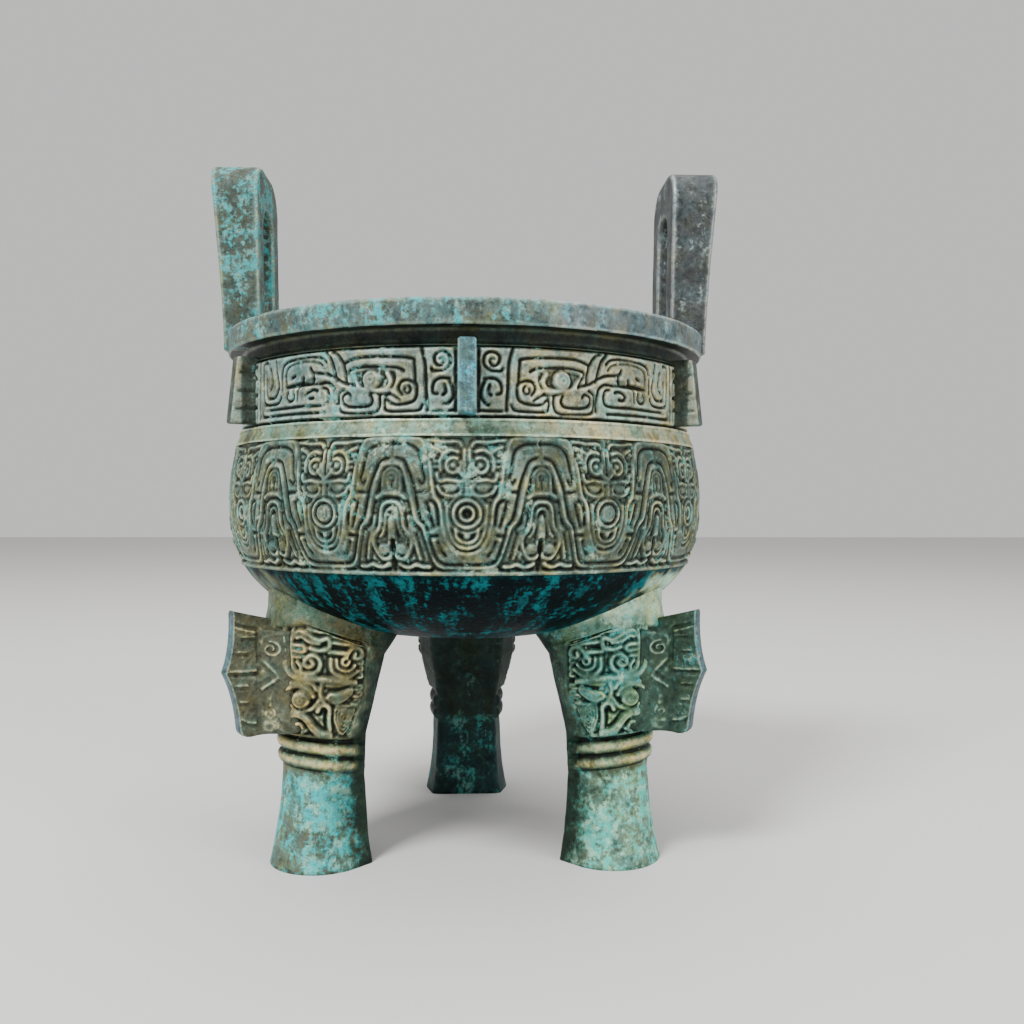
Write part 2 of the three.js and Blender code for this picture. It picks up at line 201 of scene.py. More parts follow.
class Carving:
    """A carved patch of wall: x runs along it, y up it, and heights count outwards from its skin."""

    def __init__(self, along, up, ground=0.0):
        self.x, self.y = np.meshgrid(along, up) if along.ndim == 1 else (along, up)
        self.pitch = abs(self.x[0, 1] - self.x[0, 0])
        self.solid = np.full(self.x.shape, float(ground))
        self.cut = np.zeros(self.x.shape)
        self.clear = np.full(self.x.shape, 1e3)

    def away(self, path):
        """Each cell's distance from a path."""
        nearest = np.full(self.x.shape, 1e3)
        points = np.asarray(path, float)
        for (ax, ay), (bx, by) in zip(points[:-1], points[1:]):
            dx, dy = bx - ax, by - ay
            share = ((self.x - ax) * dx + (self.y - ay) * dy) / max(dx * dx + dy * dy, 1e-9)
            share = np.clip(share, 0, 1)
            gap = np.hypot(self.x - ax - share * dx, self.y - ay - share * dy)
            nearest = np.minimum(nearest, gap)
        return nearest

    def inside(self, outline):
        """Which cells a closed outline holds."""
        points = np.asarray(outline, float)
        held = np.zeros(self.x.shape, bool)
        for (ax, ay), (bx, by) in zip(points, np.roll(points, -1, axis=0)):
            if ay != by:
                crossing = ax + (self.y - ay) * (bx - ax) / (by - ay)
                held ^= ((ay > self.y) != (by > self.y)) & (self.x < crossing)
        return held

    def groove(self, path, width=1.0, depth=1.2):
        """Cuts a round-bottomed groove along a path."""
        self.cut = np.maximum(self.cut, depth * ease(1.25 - self.away(path) / width))

    def ridge(self, path, width=1.2, level=0.0):
        """Raises a rounded ridge along a path to a level."""
        away = self.away(path)
        self.solid = np.maximum(self.solid, mix(self.solid, level, ease(1.3 - away / width)))
        self.clear = np.minimum(self.clear, away - 1.3 * width)

    def boss(self, cx, cy, radius, rise, level=0.0):
        """Raises a round boss."""
        far = np.hypot(self.x - cx, self.y - cy) / radius
        dome = level + rise * np.sqrt(np.clip(1 - far**2, 0, 1))
        self.solid = np.where(far < 1, np.maximum(self.solid, dome), self.solid)
        self.clear = np.minimum(self.clear, (far - 1) * radius)

    def pit(self, cx, cy, radius, depth):
        """Sinks a round pit."""
        far = np.hypot(self.x - cx, self.y - cy) / radius
        self.cut = np.maximum(self.cut, depth * ease(1.4 - far))

    def region(self, outline, level, slope=0.9):
        """Lowers or raises what an outline holds, with a sloping edge."""
        outline = np.asarray(outline, float)
        away = self.away(np.vstack([outline, outline[:1]]))
        edge = np.where(self.inside(outline), away, -away)
        self.solid = mix(self.solid, level, ease(0.5 + edge / slope))
        self.clear = np.minimum(self.clear, away - slope / 2)

    def fill(self, lowest, level, moat=0.3, slope=0.9):
        """Raises the open ground to a level, so that only a narrow groove is left beside each ridge."""
        share = ease((self.clear - moat) / slope) * (self.solid > lowest)
        self.solid = np.maximum(self.solid, mix(self.solid, level, share))

    def heights(self):
        """The finished heights, a little softened as a casting is."""
        return blurred(self.solid - self.cut, 1)


def mirrored(half):
    """A patch that starts at its middle, joined to its mirror image."""
    return np.hstack([half[:, :0:-1], half])


def wear_and_highlight(heights, pitch, low, high):
    """How high each cell stands in its carving, from 0 to 1, and how far above what is round it."""
    # The edge field darkens sunk cells as patina and lightens raised ones with the rubbed colour, which is
    # partly wear and partly a painted highlight.
    carve = np.clip((heights - low) / (high - low), 0, 1)
    edge = np.clip((heights - blurred(heights, 1.7 / pitch)) / 0.65, -1, 1)
    return carve, edge


# ---------------------------------------------------------------- meshes


def grid_mesh(name, places, carve=None, edge=None, loop_rows=False, loop_columns=False):
    """A mesh over a grid of places, facing left of its rows' way. Rows or columns can be closed loops."""
    rows, columns = places.shape[:2]
    index = np.arange(rows * columns).reshape(rows, columns)
    if loop_rows:
        index = np.vstack([index, index[:1]])
    if loop_columns:
        index = np.hstack([index, index[:, :1]])
    corners = (index[:-1, :-1], index[:-1, 1:], index[1:, 1:], index[1:, :-1])
    faces = np.stack(corners, axis=-1).reshape(-1, 4)
    mesh = bpy.data.meshes.new(name)
    mesh.from_pydata((places.reshape(-1, 3) * MM).tolist(), [], faces.tolist())
    for key, field, plain in (("carve", carve, 1.0), ("edge", edge, 0.0)):
        values = np.broadcast_to(plain if field is None else field, (rows, columns))
        layer = mesh.attributes.new(key, "FLOAT", "POINT")
        layer.data.foreach_set("value", values.astype(np.float32).ravel())
    work = bmesh.new()
    work.from_mesh(mesh)
    bmesh.ops.remove_doubles(work, verts=work.verts, dist=1e-6)
    bmesh.ops.dissolve_degenerate(work, edges=work.edges, dist=5e-7)
    work.to_mesh(mesh)
    work.free()
    mesh.polygons.foreach_set("use_smooth", np.ones(len(mesh.polygons), bool))
    mesh.update()
    return mesh


def turned(mesh, angle):
    """The mesh turned about the bowl's axis."""
    mesh.transform(Matrix.Rotation(math.radians(angle), 4, "Z"))
    return mesh


def wall_ring(radius, azimuth, height):
    """Places at radii and heights round the bowl's axis."""
    turn = np.radians(azimuth)
    return np.stack(np.broadcast_arrays(radius * np.cos(turn), radius * np.sin(turn), height), axis=-1)


def capped(places, *fields):
    """A grid of closed loops, shut at both ends by drawing a copy of the end loop in to a point."""
    first = np.broadcast_to(places[0].mean(axis=0), places[0].shape)
    last = np.broadcast_to(places[-1].mean(axis=0), places[-1].shape)
    shut = np.concatenate([first[None], places, last[None]])
    return [shut, *(np.concatenate([f[:1], f, f[-1:]]) for f in fields)]


def ring_tree():
    """Geometry nodes that repeat a shape in a ring about the bowl's axis."""
    tree = bpy.data.node_groups.new("ring_of_castings", "GeometryNodeTree")
    for name, kind in (
        ("Geometry", "NodeSocketGeometry"),
        ("Count", "NodeSocketInt"),
        ("Start", "NodeSocketFloat"),
        ("Step", "NodeSocketFloat"),
        ("Weld", "NodeSocketFloat"),
        ("Material", "NodeSocketMaterial"),
    ):
        tree.interface.new_socket(name=name, in_out="INPUT", socket_type=kind)
    tree.interface.new_socket(name="Geometry", in_out="OUTPUT", socket_type="NodeSocketGeometry")
    nodes = Tree(tree)
    given = nodes.add("NodeGroupInput").outputs
    points = nodes.add("GeometryNodePoints", {"Count": given["Count"]})
    index = nodes.add("GeometryNodeInputIndex").outputs[0]
    turn = nodes.math("MULTIPLY_ADD", index, given["Step"], given["Start"])
    facing = nodes.add("ShaderNodeCombineXYZ", {"Z": turn})
    rotation = nodes.add("FunctionNodeEulerToRotation", {"Euler": facing.outputs[0]})
    placed = nodes.add(
        "GeometryNodeInstanceOnPoints",
        {"Points": points.outputs[0], "Instance": given["Geometry"], "Rotation": rotation.outputs[0]},
    )
    real = nodes.add("GeometryNodeRealizeInstances", {"Geometry": placed.outputs[0]})
    inputs = {"Geometry": real.outputs[0], "Distance": given["Weld"]}
    welded = nodes.add("GeometryNodeMergeByDistance", inputs)
    inputs = {"Geometry": welded.outputs[0], "Material": given["Material"]}
    coloured = nodes.add("GeometryNodeSetMaterial", inputs)
    nodes.add("NodeGroupOutput", {"Geometry": coloured.outputs[0]})
    return tree


def ring_of(name, mesh, material, count, start, step):
    """A ring of copies of a mesh, as one plain mesh."""
    tree = bpy.data.node_groups.get("ring_of_castings") or ring_tree()
    holder = bpy.data.objects.new(name + "_unit", mesh)
    bpy.context.collection.objects.link(holder)
    modifier = holder.modifiers.new("ring", "NODES")
    modifier.node_group = tree
    values = {
        "Count": count,
        "Start": math.radians(start),
        "Step": math.radians(step),
        "Weld": 3e-6,
        "Material": material,
    }
    for item in tree.interface.items_tree:
        if item.in_out == "INPUT" and item.name in values:
            modifier[item.identifier] = values[item.name]
    bpy.context.view_layer.update()
    evaluated = holder.evaluated_get(bpy.context.evaluated_depsgraph_get())
    result = bpy.data.meshes.new_from_object(evaluated)
    result.name = name
    bpy.data.objects.remove(holder)
    work = bmesh.new()
    work.from_mesh(result)
    bmesh.ops.holes_fill(work, edges=[edge for edge in work.edges if edge.is_boundary], sides=0)
    work.to_mesh(result)
    work.free()
    return result


def finished(name, mesh, *materials):
    """Puts a finished piece in the scene, riding on the vessel's body in place of its plain solid."""
    piece = bpy.data.objects.new(name, mesh)
    bpy.context.collection.objects.link(piece)
    mesh.materials.clear()
    for material in materials:
        mesh.materials.append(material)
    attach(piece, BODY)
    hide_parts(NODE)
    return piece


# ---------------------------------------------------------------- the bowl's shape


def belly_skin(height):
    """The outer radius of the belly at a height."""
    off = (np.asarray(height, float) - BELLY["height"]) / BELLY["depth"]
    above = (height - BELLY["height"]) / (BAND["bottom"] - BELLY["height"])
    upper = BELLY["radius"] - BELLY["shoulder"] * above**2
    lower = BELLY["radius"] * (1 - np.clip(-off, 0, 1) ** BELLY["power"]) ** (1 / BELLY["power"])
    return np.where(off > 0, upper, lower)


def belly_bottom(radius, inset):
    """The height of the belly's underside at a radius, moved inwards by an inset."""
    across = np.minimum(1, radius / (BELLY["radius"] - inset)) ** BELLY["power"]
    return BELLY["height"] - (BELLY["depth"] - inset) * (1 - across) ** (1 / BELLY["power"])


def belly_curve(inset, end_height, steps):
    """Radii and heights up the belly's underside, from its lowest point."""
    across = BELLY["radius"] - inset
    deep = BELLY["depth"] - inset
    end = math.acos(((BELLY["height"] - end_height) / deep) ** (BELLY["power"] / 2))
    turn = np.linspace(0, end, steps + 1)
    out = across * np.sin(turn) ** (2 / BELLY["power"])
    return np.column_stack([out, BELLY["height"] - deep * np.cos(turn) ** (2 / BELLY["power"])])


def eased_corners(corners, steps=5):
    """An outline through corners, each rounded off. The third value of a corner is its radius."""
    points = []
    for before, here, after in zip(corners[:-2], corners[1:-1], corners[2:]):
        p, q, r = (np.array(c[:2], float) for c in (before, here, after))
        size = here[2]
        start = q + (p - q) / np.linalg.norm(p - q) * min(size, np.linalg.norm(p - q) / 2)
        end = q + (r - q) / np.linalg.norm(r - q) * min(size, np.linalg.norm(r - q) / 2)
        t = np.linspace(0, 1, steps)[:, None]
        points.append((1 - t) ** 2 * start + 2 * t * (1 - t) * q + t**2 * end)
    return np.vstack([corners[0][:2], *points, corners[-1][:2]])


def spaced(points, longest):
    """The outline with its long edges divided."""
    parts = []
    for a, b in zip(points[:-1], points[1:]):
        count = max(1, math.ceil(np.linalg.norm(b - a) / longest))
        parts.append(a + (b - a) * np.arange(count)[:, None] / count)
    return np.vstack([*parts, points[-1:]])


def bowl_profile():
    """Radii and heights of the bowl's section: up the outside, over the rim and down the inside."""
    outside = belly_curve(0, LOWER["bottom"] - 0.2, 26)
    edge = outside[-1][0]
    levels = np.linspace(LOWER["bottom"] + 1, BAND["bottom"] - 1, 9)
    core = [(belly_skin(z) - LOWER["core"], z) for z in levels]
    upper = eased_corners(
        [
            (*core[-1], 0),
            (99.6, BAND["bottom"], 0.3),
            (BAND["low"], BAND["bottom"], 0.9),
            (BAND["low"] - 0.9, BAND["bottom"] + 1.9, 1.0),
            (BAND["high"] - 0.3, BAND["top"] - 2.0, 1.0),
            (BAND["high"], BAND["top"], 0.9),
            (UPPER["core"], BAND["top"], 0.3),
            (UPPER["core"], UPPER["top"], 0.3),
            (UPPER["skin"] - 0.2, UPPER["top"] + 0.1, 0.6),
            (NECK["radius"], UPPER["top"] + 1.7, 1.2),
            (NECK["radius"] + 0.3, RIM["bottom"], 1.8),
            (RIM["outer"] - 0.4, RIM["bottom"], 1.2),
            (RIM["outer"], RIM["top"], 1.8),
            (RIM["inner"] + 0.3, RIM["top"] - 0.5, 1.8),
            (RIM["inner"] + 0.8, RIM["bottom"] + 3, 1.2),
            (NECK["inner"], RIM["bottom"] - 2, 2.2),
            (NECK["inner"], BAND["top"], 8.0),
            (BELLY["radius"] - 6.4, BELLY["height"] + 12, 10.0),
            (BELLY["radius"] - BOWL_WALL - 0.1, BELLY["height"] - 10, 6.0),
        ]
    )
    inside = belly_curve(BOWL_WALL, BELLY["height"] - 12, 20)[::-1]
    shoulder = [(edge - 0.3, LOWER["bottom"])]
    return spaced(np.vstack([outside, shoulder, core[:-1], upper, inside]), BOWL_LONGEST_EDGE)


def bowl_mesh(unevenness):
    """The whole bowl with its rim, turned and then made a little uneven."""
    profile = bowl_profile()
    azimuth = np.linspace(0, 360, BOWL_COLUMNS + 1)[:-1]
    places = wall_ring(profile[:, :1], azimuth[None, :], profile[:, 1:])
    wave = wander(places, 38, 11, 3)
    in_profile = np.gradient(profile, axis=0)
    length = np.maximum(np.linalg.norm(in_profile, axis=1), 1e-6)
    out = in_profile[:, 1] / length
    rise = -in_profile[:, 0] / length
    seen = np.clip(profile[:, 0] / 30, 0, 1) * unevenness
    turn = np.radians(azimuth)
    shift = wave * seen[:, None]
    places[..., 0] += shift * out[:, None] * np.cos(turn)
    places[..., 1] += shift * out[:, None] * np.sin(turn)
    places[..., 2] += shift * rise[:, None]
    bend = np.abs(np.gradient(np.unwrap(np.arctan2(in_profile[:, 1], in_profile[:, 0])))) / length
    edge = np.clip(bend * 1.2, 0, 0.9)[:, None]
    return grid_mesh("cast_bowl", places, None, np.broadcast_to(edge, places.shape[:2]), loop_columns=True)


# ---------------------------------------------------------------- the friezes


def half_mask(depth):
    """Half of a beast mask of the upper frieze, from its flange to its tail: bands with lines between."""
    along = np.linspace(0, math.pi / UPPER_MASKS * UPPER["skin"], UPPER_COLUMNS)
    carving = Carving(along, np.linspace(0, UPPER["tall"], UPPER_ROWS))

    def line(*points, width=0.85, cut=1.0):
        carving.groove(smooth(points), 0.8 * width, depth * cut)

    socket = smooth(
        [(26.8, 17.4), (31, 18.2), (37, 18.3), (42.6, 17.6), (44.2, 16.4), (42.4, 12.8), (39.4, 11.6),
         (32.6, 11.1)]
        + [(28.8, 10.6), (27, 12.2), (26.2, 15), (26.8, 17.4)]
    )
    carving.region(socket, -0.85 * depth)
    jaw = smooth([(60.5, 15.6), (64, 13.8), (70, 13.6), (76, 14.2), (73, 15.3), (67, 15.3), (62.6, 16.6),
                  (60.5, 15.6)])
    carving.region(jaw, -0.6 * depth)
    carving.boss(35.9, 14.4, 3.6, 2.1, -0.8)
    carving.groove(arc(36.1, 14.3, 1.9, 0, 360, 20), 0.5, 0.55)
    carving.pit(36.1, 14.3, 0.8, 0.9)
    carving.ridge(smooth([(29.7, 16.6), (28.4, 13.7), (29.7, 11.3), (32.4, 10.6)]), 0.9, 0.1)
    carving.ridge(smooth([(23.9, 7.7), (27.1, 9.9), (32.6, 10.1), (39.4, 11.0), (43.8, 15.2)]), 0.8, 0.35)
    carving.ridge(smooth([(43.8, 12.2), (47.7, 12.9), (51.2, 14.8), (60, 17.2), (62, 19.4)]), 0.8, 0.3)
    carving.ridge([(44.6, 17.2), (41.6, 11.4)], 0.55, 0.45)
    carving.boss(39.9, 7.6, 1.9, 0.7, 0)

    line((2, 26.2), (60, 26.2), (105.4, 26.2))
    line((0, 0.5), (60, 0.5), (105.4, 0.5), width=1.1, cut=1.2)
    line((8.9, 17.3), (12.4, 17.2), (13, 18.2))
    line((8.9, 17.3), (6.3, 19.2), (6, 22), (7.6, 23.9), (10, 24), (11.8, 22.4), (11.4, 19.8), (9.4, 19),
         (8.2, 20.6))
    line((8.2, 20.6), (8.8, 21.9), (10, 21.4), width=0.6)
    line((6.2, 14.3), (9.9, 14.5), (12.2, 12.7), (12.6, 9.4), (10.8, 8.8))
    line((6.2, 13.2), (5.2, 11), (5, 7.6), (7.2, 5), (8, 5))
    line((8.2, 12.2), (7.6, 9.6), (8.8, 8.4), width=0.8)
    line((4.1, 25.3), (4.1, 4.3), (4.8, 2.9), (12.7, 2.6))
    line((16.9, 26.0), (15.4, 20), (15.0, 12), (14.5, 2.8), width=1.0)
    line((19, 12.4), (19.4, 19.6), (20.6, 21.8), (31.6, 22.7), (41.6, 22.6), (47.4, 20.9))
    line((23.4, 17.3), (26.6, 18.6), (36.7, 19.2), (42.3, 18.8), (45.4, 17.6), (43.8, 14.7), (42.6, 12.4),
         width=0.95)
    line((24.6, 6.6), (28, 8.7), (33.2, 9.1), (36.4, 9.9), width=0.7, cut=0.8)
    line((18.6, 12.6), (21.7, 13.9), (24.4, 13.3), (25.3, 10.8), (23.9, 8.5))
    line((21.4, 12), (20.7, 10.4), (21.8, 9), (23.2, 9.8), (22.8, 11.2), width=0.6)
    line((18.5, 12.4), (18.5, 8.4), (20.2, 6), (25.6, 5.1), (28.6, 5.9), (29.6, 7))
    line((16.2, 5), (17.6, 3), (22, 2.6), (29.1, 2.7), (30.7, 4.4), (30.4, 8.1), (28.6, 9.5))
    line((32.6, 8.4), (32.7, 4.6), (34.7, 2.3), (41, 2.2), (47.7, 2.6), (49.6, 4.7), (49.8, 9.6),
         (47.4, 11.3))
    line((36.4, 8.9), (35.6, 6.6), (37.6, 4.7), (44.9, 4.7), (47.9, 6.4), (48, 8.9), (45.6, 9.9),
         (44.6, 8.6))
    line((46.4, 14.1), (46.9, 18), (48, 21.4), (50.6, 24.6), (53, 25.3))
    line((50.6, 14.6), (51.9, 19.2), (53.4, 23), (56.1, 25.6))
    line((43.6, 12.7), (47.7, 13.7), (51.2, 15.7), (55.2, 17.4), (60, 17.9), width=0.9)
    line((55.6, 21.8), (58.7, 23.8), (66.9, 24.4), (77, 23.3), (79.8, 20), (80, 12.6))
    line((56.4, 19.4), (58.9, 21.8), (66.9, 22.9), (75, 21.8), (77.4, 18.6), (77, 15.0), width=0.7, cut=0.8)
    line((60, 17.9), (62, 18.6), (63.4, 20.2), width=0.8)
    line((63.2, 19.4), (61.8, 16.8), (62.6, 14.8), width=0.9)
    line((67.2, 16.6), (68.6, 14.8), (72, 13.9), (77.4, 13.8), width=1.1)
    line((71.8, 17.8), (73.8, 17.0), width=0.8)
    line((50.9, 3.6), (51.3, 9), (52.1, 12.2), (54.9, 14.1), (58.9, 13.9))
    line((57.4, 12.4), (55.1, 11.6), (54.4, 8.4), (56.8, 6), (69.1, 6), (77, 5.8), (91.5, 5.8))
    line((59.9, 11.4), (62.4, 11.9), (65.4, 10.5), (64.6, 8.8), (62, 8.8), width=0.9)
    line((60, 14), (64, 13.9), (68, 14), (70.4, 12.6), (70.8, 8.4), width=0.7)
    line((73.2, 12.4), (72.8, 9.2), (75.6, 8.2), (77.2, 9.8), (76.2, 11.8), width=0.8)
    line((56.1, 3.1), (75, 3.3), (93.9, 3.3), (95.2, 4.8))
    line((84.4, 24.6), (83.4, 19.4), (82.2, 14.3), (84.6, 10.9), (88.4, 10.3), (91, 11.4), (91.2, 18))
    line((88.2, 21.6), (86.8, 16.3), (88.6, 13.6), width=0.9)
    line((80.6, 10.4), (82.8, 8.2), (88, 7.7), (92.6, 8.2), (93.8, 10.6), (94, 23.6), (90.6, 24.3))
    line((97.2, 26.1), (97.7, 14), (97.7, 2.7), width=1.0)
    line((100.3, 23.4), (102.9, 23.9), (103.4, 20.6), (101.2, 19.2), (100, 16.4))
    line((100.2, 12.6), (103.2, 12.1), (103.6, 8.4), (101, 7.2), (100.4, 4))
    return carving.heights(), carving.pitch


def half_wave(depth, pierced):
    """Half of a wave of the lower frieze, from the middle of its arch to the middle of the eye beside it.

    A pierced eye is a ring round a deep hole, and the other kind is a boss with a small pupil.
    """
    middle = math.pi * BELLY["radius"] / LOWER_WAVES - 0.24
    ground = -1.3 * depth
    along = np.linspace(0, middle, LOWER_COLUMNS)
    carving = Carving(along, np.linspace(0, LOWER["tall"], LOWER_ROWS), ground)

    def line(*points, width=0.75, cut=0.85):
        carving.groove(smooth(points), width, 1.35 * depth * cut)

    def ridge(*points, width=0.7, level=-0.1):
        carving.ridge(smooth(points), 1.15 * width, level)

    outer = [(0, 50.0), (9.6, 49.6), (11.8, 47.6), (13.4, 42), (14.4, 38), (15.5, 30), (17.3, 26.9),
             (18.3, 24)]
    outer += [(18.8, 19), (20, 14), (22, 10.4), (24.4, 8.5), (middle + 1, 7.8)]
    inner = [(0, 40.4), (2.6, 40.1), (4.4, 37.8), (6.4, 31), (8, 24), (9, 20.4), (11.6, 17.6), (13, 13)]
    inner += [(15.5, 5.5), (17.8, 3.1), (22, 2.5), (middle + 1, 2.5)]
    border = smooth(outer)
    lining = smooth(inner)
    carving.region(np.vstack([border, lining[::-1]]), -0.25, 0.8)
    carving.ridge(border, 0.75, 0.25)
    carving.ridge(lining, 0.65, 0.05)

    # Inside the arch: nested arcs over fine hatching, a band, a tongue and a small face with curled lips.
    carving.ridge(np.vstack([[(3.3, 30)], arc(0, 35.6, 3.2, 0, 90)]), 0.6, -0.15)
    carving.ridge(np.vstack([[(1.6, 32)], arc(0, 35.6, 1.7, 0, 90)]), 0.5, -0.3)
    for across in (0.4, 1.2, 2.1):
        carving.ridge([(across, 30.4), (across * 0.8, 34)], 0.28, -0.6)
    ridge((0, 29.9), (3, 29.6), (5.4, 28.3), width=0.9, level=0.1)
    ridge((0, 26.9), (2, 26.5), (3.6, 24.8), (4.2, 20), (4.9, 17.3), (7.0, 14.2), (7.2, 11.4), (6.4, 9.2),
          level=0)
    ridge((0, 24.4), (1.2, 24), (2.2, 22.3), (2.5, 18.6), (3.4, 15.6), (4.6, 14.2), width=0.5, level=-0.2)
    carving.pit(0, 23.1, 0.7, 0.6)
    carving.region([(-1.4, 13.4), (-1.3, 20.4), (0, 22.2), (1.3, 20.4), (1.4, 13.4)], 0.15, 1.1)
    carving.boss(3.5, 9.7, 2.2, 1.3, -0.9)
    ridge((6.0, 8.6), (4.9, 6.8), (3.4, 6.1), (1.4, 6.7), (0.6, 7.6), width=0.75, level=0.25)
    line((0, 13.2), (0, 1.4), width=0.8, cut=0.9)
    ridge((1.3, 12.6), (1.5, 10.6), (1.2, 8.6), width=0.45, level=-0.4)
    ridge((2.2, 4.3), (4.2, 3.1), (6, 2.9), (8.6, 4), (11, 3.2), (13.4, 3.2), width=0.8, level=0.3)
    ridge((6.9, 17.6), (8.4, 13.4), (9.4, 9.4), (10.2, 6.2), width=0.7, level=-0.2)
    ridge((6.4, 21.6), (6.9, 18.6), (8.8, 16.6), width=0.6, level=-0.3)

    # On the ribbon: the lines that follow it and the marks across it.
    line((0, 47.8), (5, 47.6), (8.6, 46.2), (10.4, 43.4), (11.4, 38), (12.2, 35), (11.2, 33.2),
         (10.2, 34.6))
    line((1.2, 42.7), (4.1, 41.7), (5.9, 38.8), (8.1, 33), (9.6, 25.9), (10.8, 20.9), (12.8, 18),
         (13.8, 14))
    line((13.8, 14), (15.9, 7), (18.2, 4.7), (22, 4.1), (middle, 4.1))
    line((9.6, 30.2), (12.9, 30.4))
    line((13.2, 44), (13.6, 36), (14.6, 29), width=0.5, cut=0.5)
    line((14.2, 27.4), (16.2, 26.0), (17.0, 22.6), (17.2, 18.4))
    line((13.0, 26.8), (14.4, 21.6), (15.6, 17.8))
    ridge((13.2, 16.0), (14.8, 15.8), (16.4, 16.6), width=0.55, level=0.2)
    line((13.4, 14.6), (17.0, 14.6))
    ridge((14.8, 12.9), (16.2, 13.2), width=0.5, level=0.2)
    line((16.9, 12.6), (18.2, 9.4), (19.6, 7.4))
    ridge((17.4, 11.4), (18.5, 9.2), width=0.45, level=0.2)

    # The panel between two arches: two volutes over two lobes, and the hanging eye with its tongue.
    ridge((12.9, 49.0), (16, 48.8), (19, 48.4), (24.4, 48.4), (25.6, 46.8), width=0.6, level=0)
    ridge((14.4, 46.6), (16.8, 45.6), (18.6, 44.6), width=0.7, level=-0.2)
    ridge((18.0, 38.0), (17.8, 41.5), (19.2, 44.2), (21.6, 45.4), (24.2, 44.8), width=0.7, level=0)
    carving.ridge(arc(22.6, 39.9, 2.7, 60, 380, 30), 0.8, 0.05)
    carving.boss(22.5, 39.9, 1.2, 0.7, -0.7)
    for start, end in (((15.6, 41.4), (17.2, 41.3)), ((15.8, 39.4), (17.3, 39.3))):
        ridge(start, end, width=0.5, level=-0.3)
    ridge((middle - 0.9, 45.6), (middle - 1.0, 41), (middle - 0.9, 37.6), width=0.6, level=0.05)
    ridge((24.0, 38.6), (25.6, 36.6), (middle, 35.2), width=0.7, level=0.2)
    ridge((middle, 35.4), (middle, 29.4), width=1.0, level=0.05)
    ridge((16.6, 36.8), (17.4, 34.4), (20.6, 34.6), (23.6, 34.2), (26.4, 34), width=0.75, level=0.1)
    ridge((16.9, 32.4), (18.4, 30.0), (21.6, 28.9), (24.6, 29.6), (25.5, 31.4), (24.6, 33), width=0.6,
          level=0.05)
    carving.region(smooth([(18.6, 32.6), (21, 33.2), (24.2, 32.6), (23.2, 30.6), (20.4, 30.4),
                           (18.6, 32.6)]), -0.2)
    rings = ((6.9, 0.6, -0.2), (4.9, 0.85, 0.35), (2.5, 0.7, 0.1))
    for radius, width, level in rings if pierced else rings[:2]:
        carving.ridge(arc(middle, 22.5, radius, 88, 272, 30), width, level)
    if pierced:
        carving.pit(middle, 22.5, 1.35, 1.1 * depth)
    else:
        carving.boss(middle, 22.5, 3.5, 1.7, -0.7)
        carving.groove(arc(middle, 22.5, 1.8, 88, 272, 20), 0.45, 0.4)
        carving.pit(middle, 22.5, 0.7, 0.6)
    ridge((20.2, 25.6), (20.4, 19.6), (21.9, 13.9), (24.0, 11.1), (middle, 10.0), width=0.7, level=0.05)
    ridge((23.4, 17.0), (23.7, 14.3), (25.2, 12.6), (middle, 12.0), width=0.6, level=0.3)
    carving.boss(middle, 14.6, 1.3, 0.9, -0.8)

    carving.fill(ground - 0.2, -0.45)
    lip = ease((1.9 - carving.y) / 0.9)
    carving.solid = mix(carving.solid, 0.75, lip)
    carving.cut *= 1 - lip
    carving.groove([(0, 2.15), (middle, 2.15)], 0.5, 0.35)
    return carving.heights(), carving.pitch


def wall_patch(name, half, pitch, span, bottom, top, skin, back, deepest):
    """A closed patch of carved wall about azimuth 0, from half of its carving and its mirror image."""
    heights = mirrored(half)
    rows, columns = heights.shape
    carve, edge = wear_and_highlight(heights, pitch, -deepest, -0.1)
    azimuth = np.linspace(-span / 2, span / 2, columns)[None, :]
    level = np.linspace(bottom, top, rows)[:, None]
    front = wall_ring(skin(level) + heights, azimuth, level)
    behind = np.linspace(top, bottom, 4)[:, None]
    inner = wall_ring(np.broadcast_to(back(behind), (4, columns)), azimuth, behind)
    flat = np.zeros((4, columns))
    places, carve, edge = (np.concatenate(pair) for pair in ((front, inner), (carve, flat), (edge, flat)))
    return grid_mesh(name, places, carve, edge, loop_rows=True)


def upper_frieze_unit(depth):
    half, pitch = half_mask(depth)
    return wall_patch(
        "upper_unit", half, pitch, 360 / UPPER_MASKS, UPPER["bottom"], UPPER["top"],
        lambda z: UPPER["skin"] + 0 * z, lambda z: UPPER["back"] + 0 * z, 0.95 * depth,
    )


def lower_frieze_unit(depth):
    """Two waves about a plain eye, with half of a pierced eye at each end."""
    pierced, pitch = half_wave(depth, True)
    plain, pitch = half_wave(depth, False)
    half = np.hstack([plain[:, ::-1], pierced[:, 1:]])
    return wall_patch(
        "lower_unit", half, pitch, 720 / LOWER_WAVES, LOWER["bottom"], LOWER["top"],
        belly_skin, lambda z: belly_skin(z) - LOWER["back"], 1.5 * depth,
    )


# ---------------------------------------------------------------- flanges and handles


def rounded_rectangle(wide, high, radius, spacing):
    """A closed loop of points round a rectangle with rounded corners, about its middle."""
    corner = np.radians(np.linspace(0, 90, 5))
    loop = []
    for quarter, (cx, cy) in enumerate(((1, 1), (-1, 1), (-1, -1), (1, -1))):
        turn = corner + quarter * math.pi / 2
        middle = [cx * (wide / 2 - radius), cy * (high / 2 - radius)]
        loop.append(np.column_stack([np.cos(turn), np.sin(turn)]) * radius + middle)
    loop = np.vstack([*loop, loop[0][:1]])
    parts = []
    for a, b in zip(loop[:-1], loop[1:]):
        straight = np.abs(b - a).min() < 1e-9
        count = spacing[0 if abs(b[0] - a[0]) > abs(b[1] - a[1]) else 1] if straight else 1
        parts.append(a + (b - a) * np.arange(count)[:, None] / count)
    return np.vstack(parts)


